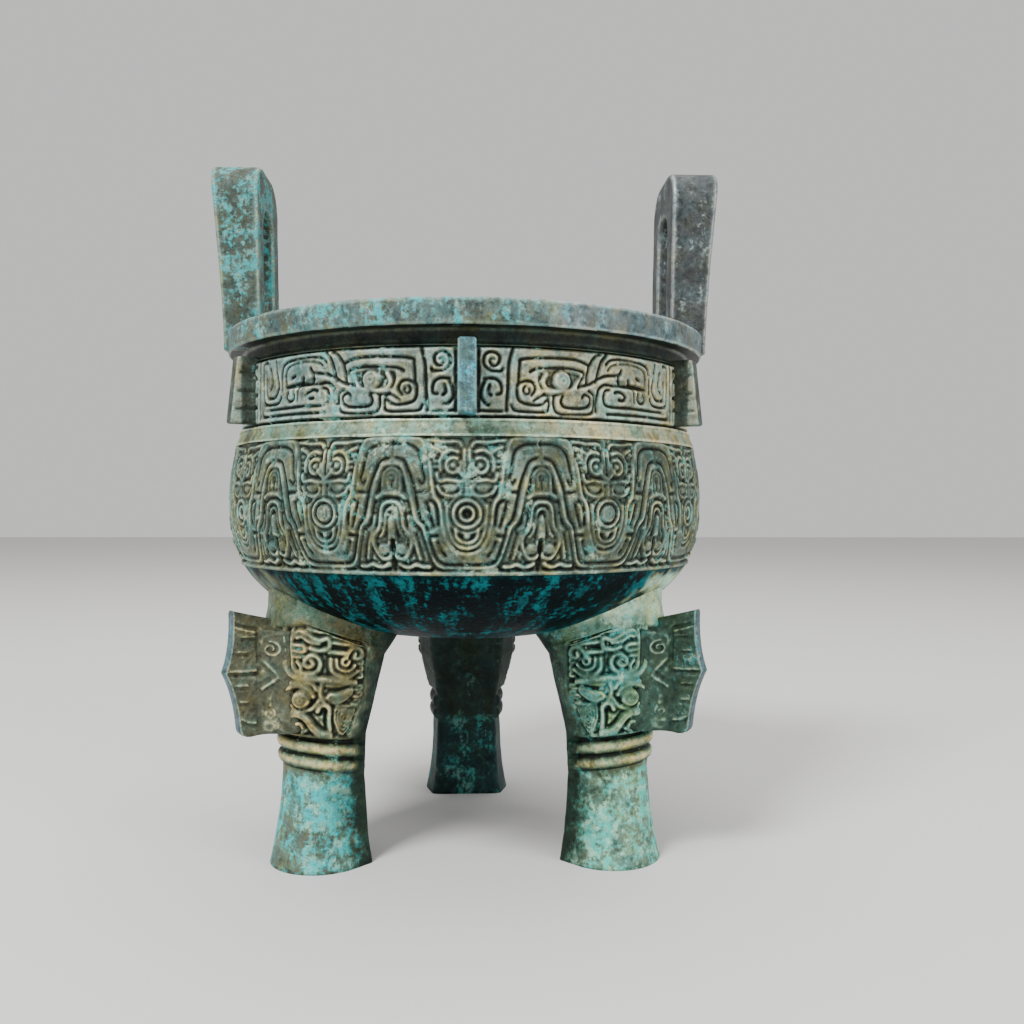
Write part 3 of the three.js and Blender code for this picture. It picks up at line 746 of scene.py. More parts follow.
def flange_mesh():
    """One flange at azimuth 0: a short thick plate with grooves across its sides."""
    heights = np.linspace(FLANGE["bottom"], FLANGE["top"], 50)
    rows = []
    for z in heights:
        share = (z - FLANGE["bottom"]) / (FLANGE["top"] - FLANGE["bottom"])
        edge = mix(FLANGE["low"], FLANGE["high"], share)
        from_end = min(z - FLANGE["bottom"], FLANGE["top"] - z)
        tuck = 0.7 * (1 - min(1, from_end / 0.9)) ** 2
        groove = max(ease(1.2 - abs(z - level) / 0.9) for level in FLANGE_GROOVES)
        loop = rounded_rectangle(edge - tuck - FLANGE["root"], 2 * (FLANGE["half"] - tuck), 0.9, (10, 5))
        loop[:, 0] += (edge - tuck + FLANGE["root"]) / 2
        side = np.sign(loop[:, 1]) * (loop[:, 0] < edge - 1.6) * (np.abs(loop[:, 1]) > 2)
        loop[:, 1] -= side * 0.75 * groove
        rows.append(np.column_stack([loop, np.full(len(loop), z)]))
    places = np.array(rows)
    edge = ease((np.abs(places[..., 1]) - 2.1) / 1.2) * ease((places[..., 0] - 105.5) / 1.5)
    shut, edge = capped(places, edge)
    return grid_mesh("flange", shut, None, edge, loop_columns=True)


def handle_band():
    """Inner and outer points along a handle's arch, in its own plane, from foot to foot over the crown."""
    middle = HANDLE["crown"] - HANDLE["opening"]
    wide, high, corner = HANDLE["half"], HEIGHT - 0.2 - middle, HANDLE["shoulder"]
    inner, outer = [], []
    for z in np.linspace(HANDLE["bottom"], middle, 46)[:-1]:
        inner.append((HANDLE["opening"], z))
        outer.append((wide, z))
    for turn in np.linspace(0, math.pi, 64):
        way = np.array([math.cos(turn), math.sin(turn)])
        low, far = 5.0, 60.0
        for _ in range(24):
            reach = (low + far) / 2
            gap = np.abs(way * reach) - np.array([wide - corner, high - corner])
            outside = np.hypot(*np.maximum(gap, 0)) + min(gap.max(), 0) > corner
            low, far = (low, reach) if outside else (reach, far)
        inner.append((way[0] * HANDLE["opening"], middle + way[1] * HANDLE["opening"]))
        outer.append((way[0] * low, middle + way[1] * low))
    inner, outer = np.array(inner), np.array(outer)
    other = slice(44, None, -1)
    flip = np.array([-1, 1])
    return np.vstack([inner, inner[other] * flip]), np.vstack([outer, outer[other] * flip])


def handle_mesh(side, seed, unevenness):
    """A handle: an upright arch that leans and thickens outwards. The side is 1 at +X and -1 at -X."""
    inner, outer = handle_band()
    rows, edges = [], []
    for near, far in zip(inner, outer):
        width = np.linalg.norm(far - near)
        depth_there = HANDLE_DEPTH["out_low"] - HANDLE_DEPTH["in_low"]
        loop = rounded_rectangle(depth_there, width, 1.3, (15, 11))
        plane = near + (far - near) * (loop[:, 1:] / width + 0.5)
        share = np.clip((plane[:, 1] - HANDLE["bottom"]) / (HEIGHT - HANDLE["bottom"]), 0, 1)
        start = mix(HANDLE_DEPTH["in_low"], HANDLE_DEPTH["in_high"], share)
        end = mix(HANDLE_DEPTH["out_low"], HANDLE_DEPTH["out_high"], share ** HANDLE_DEPTH["flare"])
        rows.append(np.column_stack([mix(start, end, loop[:, 0] / depth_there + 0.5), plane]))
        inset = np.abs(loop) - [depth_there / 2 - 1.6, width / 2 - 1.6]
        edges.append(ease(np.maximum(inset, 0).prod(axis=1) / 0.9))
    places = np.array(rows)
    wave = wander(places, 24, 7, seed)
    places[..., 0] += wave * unevenness * np.clip((places[..., 2] - 222) / 10, 0, 1) * 0.6
    shut, edge = capped(places, np.array(edges))
    if side < 0:
        shut = shut * np.array([-1, 1, 1])
        shut = shut[:, ::-1]
        edge = edge[:, ::-1]
    return grid_mesh("handle", shut, None, edge, loop_columns=True)


# ---------------------------------------------------------------- legs and fins


def mask_carving(depth):
    """One side of a leg's beast mask, and the rings under it. x is the arc from the fin, y the height."""
    along = np.linspace(0, ARC_RADIUS * math.radians(ARC_REACH), MASK_COLUMNS)
    carving = Carving(along, np.arange(CARVED_FROM, CARVED_TO, CARVED_PITCH))
    low = -1.35 * depth

    def ridge(*points, width=0.75, level=0.1):
        carving.ridge(smooth(points), 1.65 * width, level)

    field = [(7, 55.4), (7, 99.6), (20, 101.4), (46.8, 99.6), (48.4, 92), (48.6, 80), (47.4, 66),
             (46.2, 55.4)]
    carving.region(field, low, 2.6)
    # The bridge of the nose and the crown.
    ridge((12.0, 99.6), (13.1, 92), (13.6, 86.6), (12.8, 84), width=0.9, level=0)
    ridge((16.4, 99.4), (16.0, 92), (16.8, 84.2), width=0.6, level=-0.1)
    ridge((16.6, 96.4), (18.8, 99.0), (22.3, 98.3), (25.8, 96.2), (28.2, 95.4), (31.6, 96.0), (32.0, 92.4),
          (30, 91.6))
    ridge((18.6, 96.4), (20.8, 96.9), (23.8, 94.9), (28.0, 94.0), width=0.6)
    ridge((30, 91.6), (27.6, 91.4), (24.4, 92.4))
    ridge((22.8, 99.9), (27, 99.0), (31.6, 98.6), (33.6, 97.2), width=0.6, level=-0.2)
    ridge((16.8, 93.4), (20.9, 93.2), (22.3, 92.0), (20.9, 90.8), (16.9, 91.2), width=0.7)
    ridge((17.0, 88.8), (20.2, 88.7), width=0.6)
    # Two volutes over the brow.
    ridge((16.7, 85.6), (18.2, 83.0), (22.3, 82.0), (26.8, 82.6), (28.6, 85.8), (27.2, 88.8), (24.4, 89.4),
          (22.2, 87.6))
    ridge((22.2, 87.6), (22.0, 85.6), (23.9, 84.6), (25.7, 85.9), (24.7, 87.3))
    ridge((18.6, 86.9), (20.2, 85.0), (20.4, 83.6), width=0.6)
    ridge((34, 97.0), (40, 95.4), (45.8, 93.6))
    ridge((33.8, 94.4), (39.6, 93.4), (43.2, 92.6), width=0.65)
    ridge((32.2, 90.6), (39.0, 89.8))
    ridge((39.4, 88.8), (41.6, 91.4), (44.6, 91.6), (46.4, 89.6), (45.4, 87.4), (43.2, 87.8), (43.4, 89.4))
    ridge((33.0, 87.6), (33.2, 83.8), (35.4, 81.2), (40.6, 80.2), (44.8, 82.2))
    ridge((35.2, 87.4), (35.7, 84.5), (38.2, 82.8), (41.4, 82.8), (43.4, 84.6), width=0.65)
    ridge((40.8, 86.4), (39.8, 84.9), (37.8, 85.6), (38.0, 87.5), (39.6, 87.8), width=0.6)
    # The brow, the eye and the cheek.
    ridge((12.6, 86.0), (14.8, 82.4), (18.6, 80.4), (26, 80.0), (34, 79.2), (43.8, 77.6), width=1.0,
          level=0.4)
    ridge((15.8, 78.2), (21, 78.4), (25.4, 77.8), (27.2, 75.6), width=0.7, level=0.2)
    ridge((29.6, 78.6), (28.7, 74), (30.8, 70.4), width=0.7, level=0)
    ridge((13.1, 67.6), (12.7, 72.0), (14.4, 75.6), (18.4, 77.0), (23.4, 76.0), (25.9, 73.0), width=0.8,
          level=0.3)
    carving.boss(20.9, 71.5, 4.2, 3.1, -0.7)
    carving.groove(arc(21.2, 71.3, 1.9, 0, 360, 20), 0.45, 0.5)
    carving.pit(21.3, 71.2, 0.6, 0.8)
    ridge((15.6, 70.4), (16.6, 68.2), (18.2, 66.9), width=0.55, level=-0.1)
    carving.ridge(arc(15.9, 67.3, 1.2, 0, 330, 18), 0.55, 0.3)
    ridge((13.1, 67.6), (14.0, 65.0), (18, 65.6), (22.4, 66.4), (26.6, 68.0), (28.8, 71.2), width=0.8,
          level=0.1)
    leaf = [(31.0, 72.2), (32.9, 74.2), (36.6, 74.4), (42.4, 76.0), (42.9, 73.2), (40.2, 70.4),
            (36.5, 69.2), (33.2, 70.4)]
    carving.region(smooth([*leaf, leaf[0]]), 0.35, 1.2)
    carving.pit(33.2, 72.4, 0.8, 0.5)
    ridge((31.4, 77.2), (36, 76.9), (42.6, 77.4), width=0.55, level=-0.3)
    ridge((28.8, 66.6), (29.8, 68.8), (32.0, 69.0), (34.0, 67.0), (34.6, 62.6), (36.0, 58.6), width=0.8,
          level=0.3)
    carving.pit(31.6, 66.2, 1.6, 1.0)
    # The mouth under a thick curling lip, with a tooth.
    mouth = smooth([(13.8, 56.6), (15.8, 60.8), (19.2, 62.4), (23, 61.4), (26.6, 57.6), (28, 55.8),
                    (13.8, 55.8)])
    carving.region(mouth, low - 0.5)
    ridge((17.2, 59.6), (20.6, 60.2), (22.4, 58.4), width=0.8, level=-0.4)
    ridge((24.4, 57.6), (22, 56.4), width=0.6, level=-0.5)
    ridge((12.2, 57.8), (13.4, 61.8), (16.4, 64.2), (20, 64.6), (24, 62.6), (27.6, 58.9), (31.6, 56.6),
          (36.2, 56.0), width=1.25, level=0.75)
    # Fine nested lines behind the cheek, and a narrow meander up the mask's edge.
    nest = np.array([(36.6, 67.2), (46.2, 66.4), (45.2, 59.2), (43.4, 56.8), (40.8, 58.0), (37.6, 62.4),
                     (36.6, 67.2)])
    heart = np.array([42.2, 63.2])
    for share in (1.04, 0.76, 0.49, 0.22):
        carving.ridge(heart + (nest - heart) * share, 0.5, 0.2)
    for level in (69.2, 72.0, 74.8, 79.6, 82.4, 85.2, 88.0):
        left = 43.8 if level < 78 else 45.2
        ridge((left, level), (47.0, level - 0.2), (47.0, level + 1.2), (left + 1.2, level + 1.3), width=0.4,
              level=0.15)
    ridge((36.8, 68.6), (46.8, 68.0), width=0.5, level=-0.1)
    carving.fill(low - 0.2, -0.3)
    # The rings.
    carving.solid += ring_rise(carving.y)
    return carving.heights(), carving.pitch


def leg_rows():
    """Heights of a leg's loops, before they are fitted to the bowl."""
    carved = np.arange(CARVED_FROM, CARVED_TO, CARVED_PITCH)
    return np.concatenate([np.linspace(0, CARVED_FROM, 21)[:-1], carved, np.linspace(104, 126, 14)])


def ring_rise(height):
    """How far a leg's rings stand out at a height."""
    parts = [np.sqrt(np.clip(1 - ((height - level) / half) ** 2, 0, 1)) for level, half in RINGS]
    return RING_RISE * np.maximum(*parts)


def leg_mesh(name, seed, depth, unevenness):
    """A leg beside the axis, with its masked round side towards +X and its flat side towards the axis."""
    half, pitch = mask_carving(depth)
    rows = leg_rows()
    first = int(np.searchsorted(rows, CARVED_FROM))
    carved = mirrored(half)
    heights = np.zeros((len(rows), carved.shape[1]))
    heights[first : first + carved.shape[0]] = carved
    carve, edge = wear_and_highlight(heights, pitch, -1.6 * depth, 0)
    turn = np.radians(np.linspace(-ARC_REACH, ARC_REACH, carved.shape[1]))[None, :]
    level = rows[:, None]
    crest = ring_rise(level) / RING_RISE + 0 * heights
    ringed = (level > 40) & (level < 54)
    # The rings' crests take the rubbed colour, partly wear and partly a painted highlight; their feet take
    # the deep colour, partly patina and partly painted shade.
    carve, edge = np.where(ringed, crest, carve), np.where(ringed, mix(-0.9, 0.62, crest**2), edge)
    outer, half_width = (reading(level, LEG_ROUND, column) for column in (1, 2))
    fade = ease((math.radians(ARC_REACH) - np.abs(turn)) / 0.12)
    out = half_width + mix(ring_rise(level), heights, fade)
    centre = outer - half_width
    arc_x, arc_y = centre + out * np.cos(turn), out * np.sin(turn)
    flat_x, flat_y = (reading(level, LEG_FLAT, column) for column in (1, 2))
    last = turn[:, -1:]
    ends = np.stack([centre + half_width * np.cos(last), half_width * np.sin(last)], axis=-1)
    corner = np.stack([flat_x, flat_y], axis=-1)
    share = np.linspace(0.1, 0.76, 8)[None, :, None]
    side = mix(ends, corner, share)
    side[..., 1] += ring_rise(level) * ease((1 - share[..., 0]) * 4)
    t = np.linspace(0, 1, 5)[None, :, None]
    middle = np.stack([flat_x, 0 * flat_y], axis=-1)
    start, end = mix(ends, corner, 0.8), mix(corner, middle, 0.26)
    bend = (1 - t) ** 2 * start + 2 * t * (1 - t) * corner + t**2 * end
    flat = mix(corner, middle, np.linspace(0.34, 1, 8)[None, :, None])
    quarter = np.concatenate([side, bend, flat], axis=1)
    other = quarter[:, -2::-1] * np.array([1, -1])
    inner = np.concatenate([quarter, other], axis=1)
    plan = np.concatenate([np.stack([arc_x, arc_y], axis=-1), inner], axis=1)
    span = (0, inner.shape[1])
    carve = np.pad(carve, [(0, 0), span], constant_values=1.0)
    edge = np.pad(edge, [(0, 0), span])
    reach = np.hypot(plan[..., 0], plan[..., 1])
    ceiling = belly_bottom(reach[-1], BOWL_WALL / 5)[None, :]
    knee = np.minimum(103.0, ceiling - 9)
    above = (level - knee) / (rows[-1] - knee)
    z = level + reading(level, LEG_LEAN, 1) * (plan[..., 0] - LEG_AXIS)
    z = np.where(level > knee, mix(knee, ceiling, np.clip(above, 0, 1)), z)
    places = np.concatenate([plan, z[..., None]], axis=-1)
    away = plan - np.array([LEG_AXIS, 0])
    away = away / np.linalg.norm(away, axis=-1, keepdims=True)
    wave = wander(places, 26, 8, seed)
    places[..., :2] += away * (wave * unevenness * ease(level / 3))[..., None]
    shut, carve, edge = capped(places, carve, edge)
    return grid_mesh(name, shut, carve, edge, loop_columns=True)


def curve_through(ends):
    """Two quadratic curves, joined at the middle point of five."""
    t = np.linspace(0, 1, 30)[:, None]
    p = np.array(ends)
    first = (1 - t) ** 2 * p[0] + 2 * t * (1 - t) * p[1] + t**2 * p[2]
    second = (1 - t) ** 2 * p[2] + 2 * t * (1 - t) * p[3] + t**2 * p[4]
    return np.vstack([first[:-1], second])


def fin_carving(radius, height, depth):
    """The lines on a fin's side and the volute, arrow and nostril on the nose at its root."""
    carving = Carving(radius, height)

    def line(*points, width=0.6, cut=0.7):
        carving.groove(smooth(points), 1.05 * width, 0.85 * depth * cut)

    def ridge(*points, width=0.5, level=0.3):
        carving.ridge(smooth(points), 1.15 * width, 2.2 * level)

    for z, start, end in ((95.8, 101, 106.4), (89.8, 103.4, 108.4), (76.2, 104, 108.6), (69.6, 104, 107.2)):
        line((start, z - 0.6), (end, z - 0.4))
        ridge((start, z + 0.5), (end, z + 0.7))
    line((100.4, 81.2), (106, 81.3), (111.6, 81.6), width=0.8, cut=0.9)
    ridge((100.4, 82.5), (106, 82.6), (111.6, 82.9))
    line((100.3, 99.2), (104.6, 100.2), (109.2, 101.6), width=0.7, cut=0.9)
    ridge((100.3, 98.0), (104.6, 99.0), (109.0, 100.4))
    line((100.4, 60.0), (104, 60.7), (107, 62.2))
    ridge((100.4, 61.3), (104, 62.0), (106.8, 63.4), width=0.55)
    line((100.0, 98.6), (100.0, 92), (99.8, 85.6), width=0.5, cut=0.5)
    # On the nose.
    ridge((92.6, 97.6), (95.6, 97.4), (98.6, 95.6), (98.8, 92.4), width=0.55)
    carving.ridge(spiral(96.0, 91.4, 3.0, 0.6, 80, 1.4), 0.6, 1.0)
    carving.groove(spiral(96.0, 91.4, 2.2, 0.3, 80, 1.3), 0.5, depth)
    ridge((98.6, 87.0), (96.4, 84), (94.0, 80.4), (96.4, 77.6), (98.8, 75.4), width=0.6, level=0.35)
    line((98.6, 85.0), (96.6, 82.4), (95.5, 80.4), (97.2, 78.6), (98.8, 77.2), width=0.6)
    line((95.0, 76.6), (97.4, 74.4), (98.2, 71), (98.2, 66.8), width=0.7)
    ridge((95.4, 74.4), (96.2, 71.4), (96.2, 68.4), width=0.5)
    carving.ridge(spiral(96.6, 65.4, 1.9, 0.5, 120, 1.2), 0.55, 1.0)
    carving.boss(96.2, 60.7, 3.0, 1.7, 0)
    carving.pit(96.8, 60.4, 0.8, 0.8)
    carving.solid += lumps(np.stack([radius, height * 0 + 5, height], axis=-1), 3.2, 61) * 0.14
    return carving


def fin_mesh(depth):
    """A fin at azimuth 0: two horns with a cusp between them, and the mask's thicker nose at its root."""
    outline = curve_through(FIN_EDGE)
    rise = np.linspace(0, 1, FIN_ROWS)[:, None]
    along = mix(FIN["foot"], FIN["top"], rise)
    left = np.clip(1 - (along - FIN["foot"]) / FIN_CORNER, 0, 1)
    tip = np.interp(along, outline[:, 1], outline[:, 0]) - FIN_CORNER * (1 - np.sqrt(1 - left**2))
    share = np.interp(np.linspace(0, 1, FIN_COLUMNS), [0, 0.08, 1], [0, 0.3, 1])[None, :]
    radius = mix(FIN["root"], tip, share)
    bottom = np.interp(radius, [80, 93.4, 107.2], [58, 56.6, FIN["foot"]])
    top = np.interp(radius, [80, 110.2], [99.5, FIN["top"]])
    height = mix(bottom, top, rise)
    carving = fin_carving(radius, height, depth)
    relief = carving.heights()
    carve, edge = wear_and_highlight(relief, 0.45, -0.75 * depth, 0.1)
    off = NOSE["radius"] - radius
    nose = NOSE["extra"] * ease(off / 0.6) + NOSE["spread"] * np.clip(off, 0, 9)
    nose = nose * ease((height - NOSE["bottom"]) / 2 + 1) * ease((NOSE["top"] - height) / 2 + 1)
    ends = np.minimum(rise, 1 - rise) * 50
    tuck = 0.8 * (1 - np.minimum(1, ends / 1.2)) ** 2
    shown = np.minimum(1, ends / 1.4) * ease((tip - radius) / 1.2)
    half = FIN["half"] + nose + relief * shown - tuck
    bevel = 0.6
    face = np.linspace(1, -1, 9)[None, 1:-1]
    side = np.stack([radius - bevel * share**8, half, height], axis=-1)
    end = np.stack(np.broadcast_arrays(tip - tuck, (half[:, -1:] - bevel) * face, height[:, -1:]), axis=-1)
    other = side[:, ::-1] * np.array([1, -1, 1])
    places = np.concatenate([side, end, other], axis=1)[:, ::-1]
    # The fin's edges and outer end take the rubbed colour, partly wear and partly a painted highlight.
    edge_wear_and_highlight = np.maximum(edge, 0.7 * share**50)
    plain = np.full(face.shape, 0.0) + 0 * rise
    carve = np.concatenate([0.7 * carve, 1 + plain, 0.7 * carve[:, ::-1]], axis=1)[:, ::-1]
    edge = np.concatenate([edge_wear_and_highlight, plain, edge_wear_and_highlight[:, ::-1]], axis=1)[:, ::-1]
    shut, carve, edge = capped(places, carve, edge)
    return grid_mesh("fin", shut, carve, edge, loop_columns=True)


# ---------------------------------------------------------------- finishes

# How far bronze shines, in general and under the belly, and how strong and deep its pitting is.
SHINE, UNDER_SHINE = 0.18, 0.06
PITTING, PITTING_DEPTH = 0.75, 0.0005


class Tree:
    """Short ways to put nodes in a tree."""

    def __init__(self, tree):
        self.tree = tree

    def feed(self, socket, value):
        if isinstance(value, bpy.types.NodeSocket):
            self.tree.links.new(value, socket)
        else:
            socket.default_value = value

    def add(self, kind, inputs=None, **settings):
        node = self.tree.nodes.new(kind)
        for key, value in settings.items():
            setattr(node, key, value)
        for key, value in (inputs or {}).items():
            self.feed(node.inputs[key], value)
        return node

    def math(self, operation, *values):
        return self.add("ShaderNodeMath", dict(enumerate(values)), operation=operation).outputs[0]

    def vector(self, operation, *values):
        return self.add("ShaderNodeVectorMath", dict(enumerate(values)), operation=operation).outputs[0]

    def colour(self, share, first, second):
        return self.add("ShaderNodeMix", {0: share, 6: first, 7: second}, data_type="RGBA").outputs[2]

    def tinted(self, share, colour, tint):
        inputs = {0: share, 6: colour, 7: (*tint, 1)}
        return self.add("ShaderNodeMix", inputs, data_type="RGBA", blend_type="MULTIPLY").outputs[2]

    def number(self, share, first, second):
        return self.add("ShaderNodeMix", {0: share, 2: first, 3: second}, data_type="FLOAT").outputs[0]

    def step(self, value, low, high):
        inputs = {"Value": value, "From Min": low, "From Max": high}
        return self.add("ShaderNodeMapRange", inputs, interpolation_type="SMOOTHSTEP").outputs[0]

    def noise(self, place, scale, detail=4.0, roughness=0.55):
        inputs = {"Vector": place, "Scale": scale, "Detail": detail, "Roughness": roughness}
        return self.add("ShaderNodeTexNoise", inputs).outputs[0]


def tone(red, green, blue):
    """A linear colour from its display values, 0 to 255."""
    shares = (red / 255, green / 255, blue / 255)
    return tuple(v / 12.92 if v < 0.04045 else ((v + 0.055) / 1.055) ** 2.4 for v in shares)


def tones(deep, ground, raised, rub_and_highlight, salts, share, rub=1.0, variety=0.8):
    """One part's patina colours, from hollows to rubbed edges (partly wear, partly a painted highlight),
    and how far its salts and hues spread.
    """
    named = {"Deep": deep, "Ground": ground, "Raised": raised, "Rubbed And Highlight": rub_and_highlight, "Salts": salts}
    colours = {key: (*tone(*value), 1) for key, value in named.items()}
    return {**colours, "Salts Share": share, "Rub": rub, "Variety": variety}


def group_tree(name, inputs, outputs):
    """An empty shader group with named sockets: (name, kind, default)."""
    tree = bpy.data.node_groups.new(name, "ShaderNodeTree")
    for key, kind, value in inputs:
        socket = tree.interface.new_socket(name=key, in_out="INPUT", socket_type="NodeSocket" + kind)
        if value is not None:
            socket.default_value = value
    for key, kind in outputs:
        tree.interface.new_socket(name=key, in_out="OUTPUT", socket_type="NodeSocket" + kind)
    nodes = Tree(tree)
    return tree, nodes, nodes.add("NodeGroupInput").outputs


def patina_group():
    """An old bronze skin: dark ground in the hollows, a grey-green skin, rubbed edges that are partly a
    painted highlight, and green salts.
    """
    grey = (0.2, 0.2, 0.2, 1)
    tree, n, given = group_tree(
        "bronze_patina",
        [
            ("Place", "Vector", None),
            ("Flow", "Vector", None),
            ("Carve", "Float", 1.0),
            ("Edge", "Float", 0.0),
            ("Deep", "Color", grey),
            ("Ground", "Color", grey),
            ("Raised", "Color", grey),
            ("Rubbed And Highlight", "Color", grey),
            ("Salts", "Color", grey),
            ("Salts Share", "Float", 0.3),
            ("Rub", "Float", 1.0),
            ("Variety", "Float", 1.0),
        ],
        [("Colour", "Color"), ("Roughness", "Float"), ("Metallic", "Float"), ("Height", "Float")],
    )
    grain = n.noise(given["Place"], 1500.0, 3.0)
    speck = n.noise(given["Place"], 480.0, 4.0, 0.65)
    cloud = n.noise(given["Place"], 85.0, 5.0, 0.65)
    flow = n.noise(given["Flow"], 170.0, 4.0, 0.65)
    rough = n.math("MULTIPLY_ADD", speck, 1.1, -0.55)
    fine = n.math("MULTIPLY_ADD", grain, 0.8, -0.4)
    broad = n.math("MULTIPLY_ADD", cloud, 1.6, -0.8)
    uneven = n.math("ADD", rough, fine)
    level = n.math("MULTIPLY_ADD", given["Carve"], 0.5, n.math("MULTIPLY_ADD", given["Edge"], 0.7, 0.4))
    level = n.math("MULTIPLY_ADD", uneven, 0.8, level)
    colour = n.colour(n.step(level, 0.1, 0.6), given["Deep"], given["Ground"])
    colour = n.colour(n.step(n.math("ADD", level, broad), 0.6, 1.25), colour, given["Raised"])
    patchy = n.math("MULTIPLY_ADD", broad, 0.8, n.math("MULTIPLY", uneven, 0.7))
    # The rubbed colour on raised edges and in patches is partly wear and partly a painted highlight; Rub
    # sets how far edges take it.
    rub_and_highlight = n.step(n.math("MULTIPLY_ADD", given["Edge"], given["Rub"], patchy), 0.28, 0.95)
    colour = n.colour(rub_and_highlight, colour, given["Rubbed And Highlight"])
    hue = n.noise(given["Place"], 110.0, 5.0, 0.68)
    warm = n.math("MULTIPLY", n.step(hue, 0.48, 0.66), given["Variety"])
    cool = n.math("MULTIPLY", n.step(hue, 0.52, 0.36), given["Variety"])
    colour = n.tinted(warm, colour, (1.26, 1.06, 0.6))
    colour = n.tinted(cool, colour, (0.6, 1.02, 1.14))
    shade = n.noise(given["Place"], 260.0, 5.0, 0.7)
    colour = n.tinted(n.step(shade, 0.52, 0.36), colour, (0.5, 0.52, 0.54))
    salty = n.math("ADD", n.math("MULTIPLY", cloud, 0.4), n.math("MULTIPLY", flow, 0.35))
    salty = n.math("MULTIPLY_ADD", speck, 0.34, salty)
    start = n.math("MULTIPLY_ADD", given["Salts Share"], -0.25, 0.655)
    salts = n.step(salty, start, n.math("ADD", start, 0.08))
    pale = n.step(n.noise(given["Place"], 210.0, 4.0, 0.65), 0.47, 0.6)
    salt_colour = n.colour(n.math("MULTIPLY", pale, 0.65), given["Salts"], given["Rubbed And Highlight"])
    colour = n.colour(n.math("MULTIPLY", salts, 0.88), colour, salt_colour)
    pits = n.math("MULTIPLY", n.step(grain, 0.56, 0.7), 0.65)
    colour = n.colour(pits, colour, given["Deep"])
    roughness = n.math("MULTIPLY_ADD", salts, 0.15, n.math("MULTIPLY_ADD", speck, 0.35, 0.33))
    roughness = n.math("MULTIPLY_ADD", rub_and_highlight, -0.18, roughness)
    metallic = n.math("MULTIPLY_ADD", salts, -0.12, n.math("MULTIPLY_ADD", rub_and_highlight, 0.25, 0.15))
    height = n.math("MULTIPLY_ADD", salts, 0.3, n.math("MULTIPLY_ADD", grain, 0.35, speck))
    outputs = {"Colour": colour, "Roughness": roughness, "Metallic": metallic, "Height": height}
    n.add("NodeGroupOutput", outputs)
    return tree


def near_group():
    """A ragged mask: 1 inside a box of half sizes round a centre, 0 well outside it."""
    tree, n, given = group_tree(
        "near_place",
        [
            ("Place", "Vector", None),
            ("Centre", "Vector", (0, 0, 0)),
            ("Half Size", "Vector", (0.1, 0.1, 0.1)),
            ("Softness", "Float", 0.01),
            ("Raggedness", "Float", 0.02),
        ],
        [("Mask", "Float")],
    )
    from_centre = n.vector("ABSOLUTE", n.vector("SUBTRACT", given["Place"], given["Centre"]))
    off = n.vector("SUBTRACT", from_centre, given["Half Size"])
    parts = n.add("ShaderNodeSeparateXYZ", {0: off}).outputs
    far = n.math("MAXIMUM", n.math("MAXIMUM", parts[0], parts[1]), parts[2])
    ragged = n.math("MULTIPLY_ADD", n.noise(given["Place"], 120.0, 5.0, 0.6), given["Raggedness"], far)
    ragged = n.math("MULTIPLY_ADD", given["Raggedness"], -0.5, ragged)
    share = n.math("DIVIDE", ragged, given["Softness"])
    n.add("NodeGroupOutput", {"Mask": n.step(share, 0.5, -0.5)})
    return tree


def bronze(name, palette, patches=(), flow="down", shine=SHINE):
    """A bronze finish, whose salts run down or inwards. Each patch is another palette and its place."""
    material = bpy.data.materials.new(name)
    material.use_nodes = True
    material.node_tree.nodes.clear()
    n = Tree(material.node_tree)
    patina = bpy.data.node_groups.get("bronze_patina") or patina_group()
    near = bpy.data.node_groups.get("near_place") or near_group()
    place = n.add("ShaderNodeTexCoord").outputs["Object"]
    if flow == "down":
        streak = n.vector("MULTIPLY", place, (1, 1, 0.16))
    else:
        ray = n.vector("NORMALIZE", n.vector("MULTIPLY", place, (1, 1, 0)))
        streak = n.vector("MULTIPLY_ADD", ray, (0.09, 0.09, 0), n.vector("MULTIPLY", place, (0, 0, 0.2)))
    carve = n.add("ShaderNodeAttribute", attribute_name="carve").outputs["Fac"]
    edge = n.add("ShaderNodeAttribute", attribute_name="edge").outputs["Fac"]

    def placed(colours):
        inputs = {"Place": place, "Flow": streak, "Carve": carve, "Edge": edge, **colours}
        return n.add("ShaderNodeGroup", inputs, node_tree=patina).outputs

    colour, roughness, metallic, height = placed(palette)
    for other, centre, half, softness, raggedness in patches:
        inputs = {"Place": place, "Centre": centre, "Half Size": half}
        inputs |= {"Softness": softness, "Raggedness": raggedness}
        share = n.add("ShaderNodeGroup", inputs, node_tree=near).outputs["Mask"]
        over = placed(other)
        colour = n.colour(share, colour, over["Colour"])
        roughness = n.number(share, roughness, over["Roughness"])
        metallic = n.number(share, metallic, over["Metallic"])
        height = n.number(share, height, over["Height"])
    relief = n.add("ShaderNodeBump", {"Height": height, "Strength": PITTING, "Distance": PITTING_DEPTH})
    shader = n.add(
        "ShaderNodeBsdfPrincipled",
        {
            "Base Color": colour,
            "Roughness": roughness,
            "Metallic": metallic,
            "Normal": relief.outputs[0],
            "Specular IOR Level": shine,
        },
    )
    n.add("ShaderNodeOutputMaterial", {"Surface": shader.outputs[0]})
    return material


RIM_TONES = tones((34, 42, 42), (70, 80, 76), (104, 122, 114), (150, 170, 158), (64, 164, 166),
                  0.46, 0.6, 0.7)
RIM_RIGHT = tones((36, 42, 44), (80, 90, 90), (116, 128, 126), (168, 180, 176), (98, 158, 162),
                  0.34, 0.8, 0.6)
